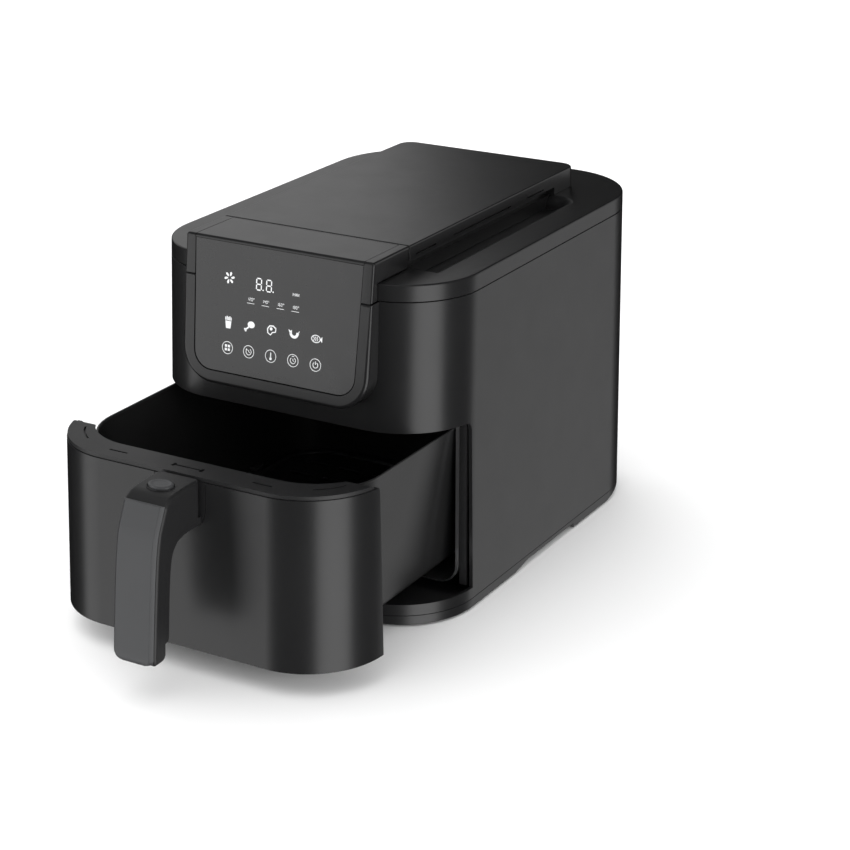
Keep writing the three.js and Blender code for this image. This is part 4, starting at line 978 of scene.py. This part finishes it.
lug = put("basket_lug", block(-8, 8, BASKET_FRONT_Y - 4.5, BASKET_FRONT_Y + 0.5, 136, 140.7), DRAWER_SHIFT)
soften(lug, 0.5, 2)
finish_piece(lug, "drawer", "coated_sheet", nonstick)

# ------------------------------------------------------------------------------------------ crisper plate
# A pressed aluminium plate with rows of air slots, a raised rib that runs round it, and a post in its
# middle that it is lifted out by. Rubber bumpers hold it off the basket's walls.
PLATE_Z = 46.5
PLATE_THICK = 1.6
PLATE_INSET = BASKET_WALL + BASKET_TAPER * (BASKET_RIM_Z - PLATE_Z) + 2.2
PLATE_HALF = BASKET_HALF - PLATE_INSET
PLATE_FRONT_Y = BASKET_FRONT_Y + PLATE_INSET
PLATE_REAR_Y = BASKET_REAR_Y - PLATE_INSET
PLATE_CORNER = BASKET_CORNER - BASKET_WALL - 3.5
BUMPER_HALF = 7


def plate_ring(depth, z):
    radius = PLATE_CORNER - depth
    return [(x, y, z)
            for x, y in rounded(-PLATE_HALF + depth, PLATE_HALF - depth, PLATE_FRONT_Y + depth,
                                PLATE_REAR_Y - depth,
                                          [radius] * 4, steps=10)]


plate_high = PLATE_Z + PLATE_THICK
profile = [(0.5, PLATE_Z), (0, PLATE_Z + 0.5), (0, plate_high - 0.5), (0.5, plate_high), (8.6, plate_high),
           (9.4, plate_high + 0.4), (10, plate_high + 1.8), (10.8, plate_high + 2.4),
           (12.2, plate_high + 2.4), (13, plate_high + 1.8), (13.6, plate_high + 0.4), (14.4, plate_high)]
plate_coat = coated_metal("plate_coat", (0.03, 0.03, 0.031), 0.3, metallic=0.6, flake=420)
plate = put("crisper_sheet", loft([plate_ring(depth, z) for depth, z in profile]), DRAWER_SHIFT)
plate_middle = (PLATE_FRONT_Y + PLATE_REAR_Y) / 2
holes = []
for row in range(-4, 5):
    for column in range(-2, 3):
        x, y = column * 32, plate_middle + row * 25
        if math.hypot(x, y - plate_middle) >= 16:
            holes.append(loft([[(a, b, z)
                                for a, b in rounded(x - 11, x + 11, y - 2.5, y + 2.5, [2.4] * 4, steps=3)]
                               for z in (PLATE_Z - 1, plate_high + 1)]))
for side in (-1, 1):
    for y in (PLATE_FRONT_Y + 70, PLATE_REAR_Y - 70):
        x0, x1 = sorted((side * (PLATE_HALF - 5), side * (PLATE_HALF + 1)))
        holes.append(block(x0, x1, y - BUMPER_HALF, y + BUMPER_HALF, PLATE_Z - 1, PLATE_Z + 5))
carve(plate, gather(holes), DRAWER_SHIFT)
finish_piece(plate, "crisper", "coated_aluminium", plate_coat, "crisper_plate")

post_profile = [(9, 0), (8.2, 0.8), (7.4, 3), (7, 7), (7.6, 10.5), (8.6, 12.4), (8.8, 13.6), (8, 14.6),
                (6, 15)]
post = put("crisper_post",
           loft([[(px, plate_middle + py, plate_high - 0.6 + z) for px, py in circle(0, 0, radius, 32)]
                                 for radius, z in post_profile]), DRAWER_SHIFT)
finish_piece(post, "crisper", "coated_aluminium", plate_coat)

# ------------------------------------------------------------------------------------------ handle bracket
# A dark plate set flush into the drawer's front wall. The handle's root is screwed to it from behind.
ROOT_FOOT_Z = 118.5
ROOT_TOP_Z = 150.5

bracket = put("handle_plate",
              slab(bracket_outline(SEAM, FRONT_TOP), -0.1, FRONT_PANEL, 0.5, 0.3, 2, on_front),
              DRAWER_SHIFT)
carve(bracket, block(-5.4, 5.4, -300, -150, 128.6, 136.1), DRAWER_SHIFT)
finish_piece(bracket, "drawer", "dark_plastic", shell_plastic, "handle_bracket")

# ------------------------------------------------------------------------------------------ handle grip
# A hollow moulding that reaches forwards from its root and bends down into a grip. Its long edges are well
# rounded, its back is a separate insert, and its top holds the oval release button in a collar.
HANDLE_HALF = 18
HANDLE_FOOT_Z = 31
FACE_THICK = 2.5
FACE_PATH = ((-259.5, 144.5), (-264.5, 134), (-268.6, 124.4), (-272.3, 107), (-276.1, 78.3), (-279.3, 49),
             (-280.4, 36), (-278.8, 31))
BUTTON_Y = -238
BUTTON_HALF_X = 9.8
BUTTON_HALF_Y = 7.7
BUTTON_TOP_Z = 152
BUTTON_POCKET_Z = 141


def eased(points, steps=5):
    """A smooth line through points."""
    ends = [points[0], *points, points[-1]]
    line = []
    for a, b, c, d in zip(ends, ends[1:], ends[2:], ends[3:]):
        for step in range(steps):
            t = step / steps
            line.append(tuple(0.5 * (2 * q + (r - p) * t + (2 * p - 5 * q + 4 * r - s) * t * t
                                     + (3 * q - p - 3 * r + s) * t ** 3)
                              for p, q, r, s in zip(a, b, c, d)))
    return line + [points[-1]]


face_line = eased(FACE_PATH, 4)
root_top_y = on_front(0, ROOT_TOP_Z, -1.3)[1]
root_foot_y = on_front(0, ROOT_FOOT_Z, -1.3)[1]
grip_view = [(root_top_y, ROOT_TOP_Z), (-232, ROOT_TOP_Z - 0.2), (-246, 149.4), (-251.5, 148.2)]
grip_view += [(y + FACE_THICK + SEAM, z) for y, z in face_line]
grip_view += [(-272, HANDLE_FOOT_Z)] + arc(-269, HANDLE_FOOT_Z + 5.5, 5.5, 275, 352, 5)
grip_view += eased([(-263, 44), (-261.8, 60), (-259.3, 84), (-256.6, 101), (-253, 110), (-247, 116),
                    (-238, 118.4)], 4)
grip_view += [(root_foot_y, ROOT_FOOT_Z)]
grip = put("handle_arm", slab(grip_view, -HANDLE_HALF, HANDLE_HALF, 2.8, 2.8, 5, lambda a, b, c: (c, a, b)),
           DRAWER_SHIFT)
pocket = [[(x, y, z) for x, y in circle(0, BUTTON_Y, 1, 40)] for z in (BUTTON_POCKET_Z, BUTTON_TOP_Z + 5)]
pocket = [[(x * (BUTTON_HALF_X + 0.5), BUTTON_Y + (y - BUTTON_Y) * (BUTTON_HALF_Y + 0.5), z)
           for x, y, z in ring] for ring in pocket]
carve(grip, loft(pocket), DRAWER_SHIFT)
finish_piece(grip, "drawer", "dark_plastic", dark_plastic, "handle_grip", crease=28)

# The insert closes the hollow back, from the root down to just above the foot.
back_view = [(root_foot_y, ROOT_FOOT_Z + 3), (root_foot_y, ROOT_FOOT_Z + 0.1), (-237.5, ROOT_FOOT_Z - 0.4)]
back_view += eased([(-246.2, 115.6), (-252, 109.4), (-255.4, 100.5), (-258, 84), (-260.4, 60),
                    (-261.4, 48)], 4)
back_view += [(-262.2, 45.6), (-266, 45)]
back_view += eased([(-267.4, 50), (-266.4, 62), (-264, 85), (-261.6, 104), (-257.4, 114), (-250, 120.4),
                    (-240, 122.4)], 4)
back_insert = put("handle_back", slab(back_view, -HANDLE_HALF + 0.1, HANDLE_HALF - 0.1, 1.2, 1.2, 3,
                                      lambda a, b, c: (c, a, b)), DRAWER_SHIFT)
finish_piece(back_insert, "drawer", "dark_plastic", dark_plastic, crease=28)


def collar_edges(z):
    """The collar's inner and outer outline at one height."""
    turns = [k * math.pi / 20 for k in range(40)]
    half_x = BUTTON_HALF_X + 0.5
    half_y = BUTTON_HALF_Y + 0.5
    return [(half_x * math.cos(t) * grow, BUTTON_Y + half_y * math.sin(t) * grow, z)
            for grow in (1, 1.1) for t in turns]


collar_faces = [[i, (i + 1) % 40, 40 + (i + 1) % 40, 40 + i] for i in range(40)]
collar_mesh = sheet_mesh(collar_edges(150.2), collar_edges(148), collar_faces)
collar = put("button_collar", gather([collar_mesh]), DRAWER_SHIFT)
soften(collar, 0.3, 2)
finish_piece(collar, "drawer", "dark_plastic", dark_plastic)

# ------------------------------------------------------------------------------------------ handle face
# A grey strip snapped over the grip's front. It bends with the grip, and narrow facets run down both its
# edges.
FACE_HALF = 17
FACET = 2.6

grey_plastic = satin_plastic("grey_plastic", (0.036, 0.037, 0.039), 0.46, grain=1100, grain_depth=0.12)


def face_strip():
    columns = [(-FACE_HALF, 2.3), (-FACE_HALF + 0.25, 1.9), (-FACE_HALF + FACET - 0.35, 0.12),
               (-FACE_HALF + FACET, 0), (0, 0)]
    columns += [(-x, depth) for x, depth in reversed(columns[:-1])]
    top_edge = HANDLE_FOOT_Z
    outside, inside = [], []
    for y, z in face_line:
        # The two lower corners are rounded off.
        low = max(6 - (z - top_edge), 0)
        trim_in = 6 - math.sqrt(max(36 - low * low, 0))
        for x, depth in columns:
            scale = (FACE_HALF - trim_in) / FACE_HALF
            outside.append((x * scale, y + depth, z))
            inside.append((x * scale, y + FACE_THICK, z))
    wide = len(columns)
    faces = [[row * wide + i, row * wide + i + 1, (row + 1) * wide + i + 1, (row + 1) * wide + i]
             for row in range(len(face_line) - 1) for i in range(wide - 1)]
    return sheet_mesh(outside, inside, faces)


face = put("handle_strip", face_strip(), DRAWER_SHIFT)
finish_piece(face, "drawer", "grey_plastic", grey_plastic, "handle_face", crease=24)

# ------------------------------------------------------------------------------------------ release button
# An oval grey button with a softly rounded top, on a round stem that its spring sits over.
def oval(scale, z):
    return [(x * BUTTON_HALF_X * scale, BUTTON_Y + y * BUTTON_HALF_Y * scale, z)
            for x, y in circle(0, 0, 1, 40)]


button_profile = [(0.98, 146), (1, 146.3), (1, 150.6), (0.985, 151.2), (0.95, 151.7), (0.89, 151.95),
                  (0.8, 152), (0.7, 151.8), (0.45, 151.5)]
button = put("button_cap", loft([oval(scale, z) for scale, z in button_profile]), DRAWER_SHIFT)
finish_piece(button, "release_button", "grey_plastic", grey_plastic, "release_button")
stem = put("button_stem",
           loft([[(x, BUTTON_Y + y, z) for x, y in circle(0, 0, 2.8, 20)] for z in (139.7, 146.1)]),
           DRAWER_SHIFT)
soften(stem, 0.3, 2)
finish_piece(stem, "release_button", "grey_plastic", grey_plastic)

# ------------------------------------------------------------------------------------------ exhaust grille
# A black plastic grille behind the opening in the rear wall. Hot air leaves between its level louvres.
grille_y = REAR_Y - 3.5
grille = put("louvre_panel",
             slab(rounded(-VENT_HALF - 5, VENT_HALF + 5, VENT_LOW_Z - 5, VENT_HIGH_Z + 5, [3] * 4, steps=3),
                                  0, 2.5, 0.4, 0.4, 2, lambda a, b, c: (a, grille_y - c, b)))
louvres = []
for row in range(8):
    z = VENT_LOW_Z + 3 + row * 8
    if z < VENT_HIGH_Z - 5:
        louvres.append(loft([[(x, grille_y + 1, z0) for x, z0 in slot] if near
                             else [(x, grille_y - 4, z0) for x, z0 in slot]
                             for near in (True, False)
                             for slot in [rounded(-VENT_HALF + 2, VENT_HALF - 2, z, z + 4, [1.9] * 4,
                                                  steps=3)]]))
carve(grille, gather(louvres))
finish_piece(grille, "housing", "dark_plastic", dark_plastic, "exhaust_grille")

# ------------------------------------------------------------------------------------------ cord gland
# A rubber bush pressed through the rear wall, with a flange outside and a bore for a mains cord.
GLAND_X = -40
GLAND_Z = 35
gland_y = REAR_Y + SIDE_LEAN * (BODY_TOP - GLAND_Z)
gland_profile = [(8, -9), (8, 0.4), (10.6, 0.5), (11.5, 0.9), (11.5, 1.8), (10.8, 2.4), (8.6, 2.5),
                 (6.4, 2.4), (4.4, 2.2), (3.8, 1.6), (3.8, -8.6)]
gland = put("gland_bush",
            loft([[(GLAND_X + x, gland_y + depth, GLAND_Z + z) for x, z in circle(0, 0, radius, 32)]
                                for radius, depth in gland_profile]))


def soft_rubber():
    """Matt rubber with a chalky bloom in its pores."""
    paint = satin_plastic("rubber", (0.017, 0.017, 0.0168), 0.82, spread=0.18, grain=620, grain_depth=0.35,
                          rub=0.14)
    paint.node_tree.nodes["Principled BSDF"].inputs["Specular IOR Level"].default_value = 0.3
    return paint


rubber = soft_rubber()
finish_piece(gland, "housing", "rubber", rubber, "cord_gland")

# ----------------------------------------------------------------------------------------- feet and bumpers
# Four rubber feet are pressed into the base, and four rubber bumpers clip over the crisper plate's edge.
FOOT_X = 85
FOOT_Y = (-150, 45)
BUMPER_Y = (PLATE_FRONT_Y + 70, PLATE_REAR_Y - 70)
foot_profile = [(11.4, 0), (12.4, 0.15), (13, 0.6), (13, 0.9), (12.7, 1.2), (5.2, 1.2), (5, 1.5), (5, 4.1),
                (4.6, 4.5)]
for place, side, row in (("front_left", -1, 0), ("front_right", 1, 0), ("rear_left", -1, 1),
                         ("rear_right", 1, 1)):
    foot = put("pad_" + place,
               loft([[(side * FOOT_X + x, FOOT_Y[row] + y, z) for x, y in circle(0, 0, radius, 36)]
                                     for radius, z in foot_profile]))
    finish_piece(foot, "housing", "rubber", rubber, "foot_" + place)
    x0, x1 = sorted((side * (PLATE_HALF - 5 + SEAM), side * (PLATE_HALF + 1.4)))
    y = BUMPER_Y[row]
    edge = rounded(x0, x1, y - BUMPER_HALF + SEAM, y + BUMPER_HALF - SEAM, [1.4] * 4, steps=4)
    bumper = put("clip_" + place, slab(edge, PLATE_Z - 2, PLATE_Z + 4, 0.8, 0.8, 3), DRAWER_SHIFT)
    finish_piece(bumper, "crisper", "rubber", rubber, "plate_bumper_" + place)

# ------------------------------------------------------------------------------------------ pieces inside
# The chamber, the hot-air head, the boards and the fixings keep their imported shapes, and are painted here.
lining = coated_metal("lining", (0.016, 0.016, 0.0162), 0.38, flake=300)
motor_steel = coated_metal("motor_can", (0.45, 0.46, 0.47), 0.42, metallic=1.0, flake=240, spread=0.2)
blade_aluminium = coated_metal("fan_aluminium", (0.62, 0.63, 0.64), 0.4, metallic=1.0, flake=160,
                               spread=0.16)
heated_tube = coated_metal("element_tube", (0.12, 0.075, 0.05), 0.5, metallic=0.7, flake=700, spread=0.45)
green_board = satin_plastic("circuit_board", (0.012, 0.06, 0.026), 0.36, spread=0.25, grain=260,
                            grain_depth=0.2, rub=0.1)
window_dark = satin_plastic("display_window", (0.006, 0.006, 0.0065), 0.2, spread=0.1, grain=500,
                            grain_depth=0.02)

kept = {
    lining: ["chamber_liner"],
    dark_plastic: ["panel_carrier", "mouth_frame", "drawer_runner_left", "drawer_runner_right",
                   "door_switch", "cooling_fan", "thermal_cutout", "drawer_frame", "latch_tongue"],
    bare_steel: ["temperature_probe", "heat_shield", "element_guard", "motor_shaft", "fan_nut",
                 "motor_bracket",
                 "button_spring", "handle_screw_left", "handle_screw_right", "base_screw_front_left",
                 "base_screw_front_right", "base_screw_rear_left", "base_screw_rear_right"],
    motor_steel: ["motor"],
    blade_aluminium: ["cooking_fan"],
    heated_tube: ["heater_coil"],
    green_board: ["display_board", "power_board"],
    window_dark: ["display_module"],
}
for paint, names in kept.items():
    for name in names:
        nodes[name].data.materials.clear()
        nodes[name].data.materials.append(paint)
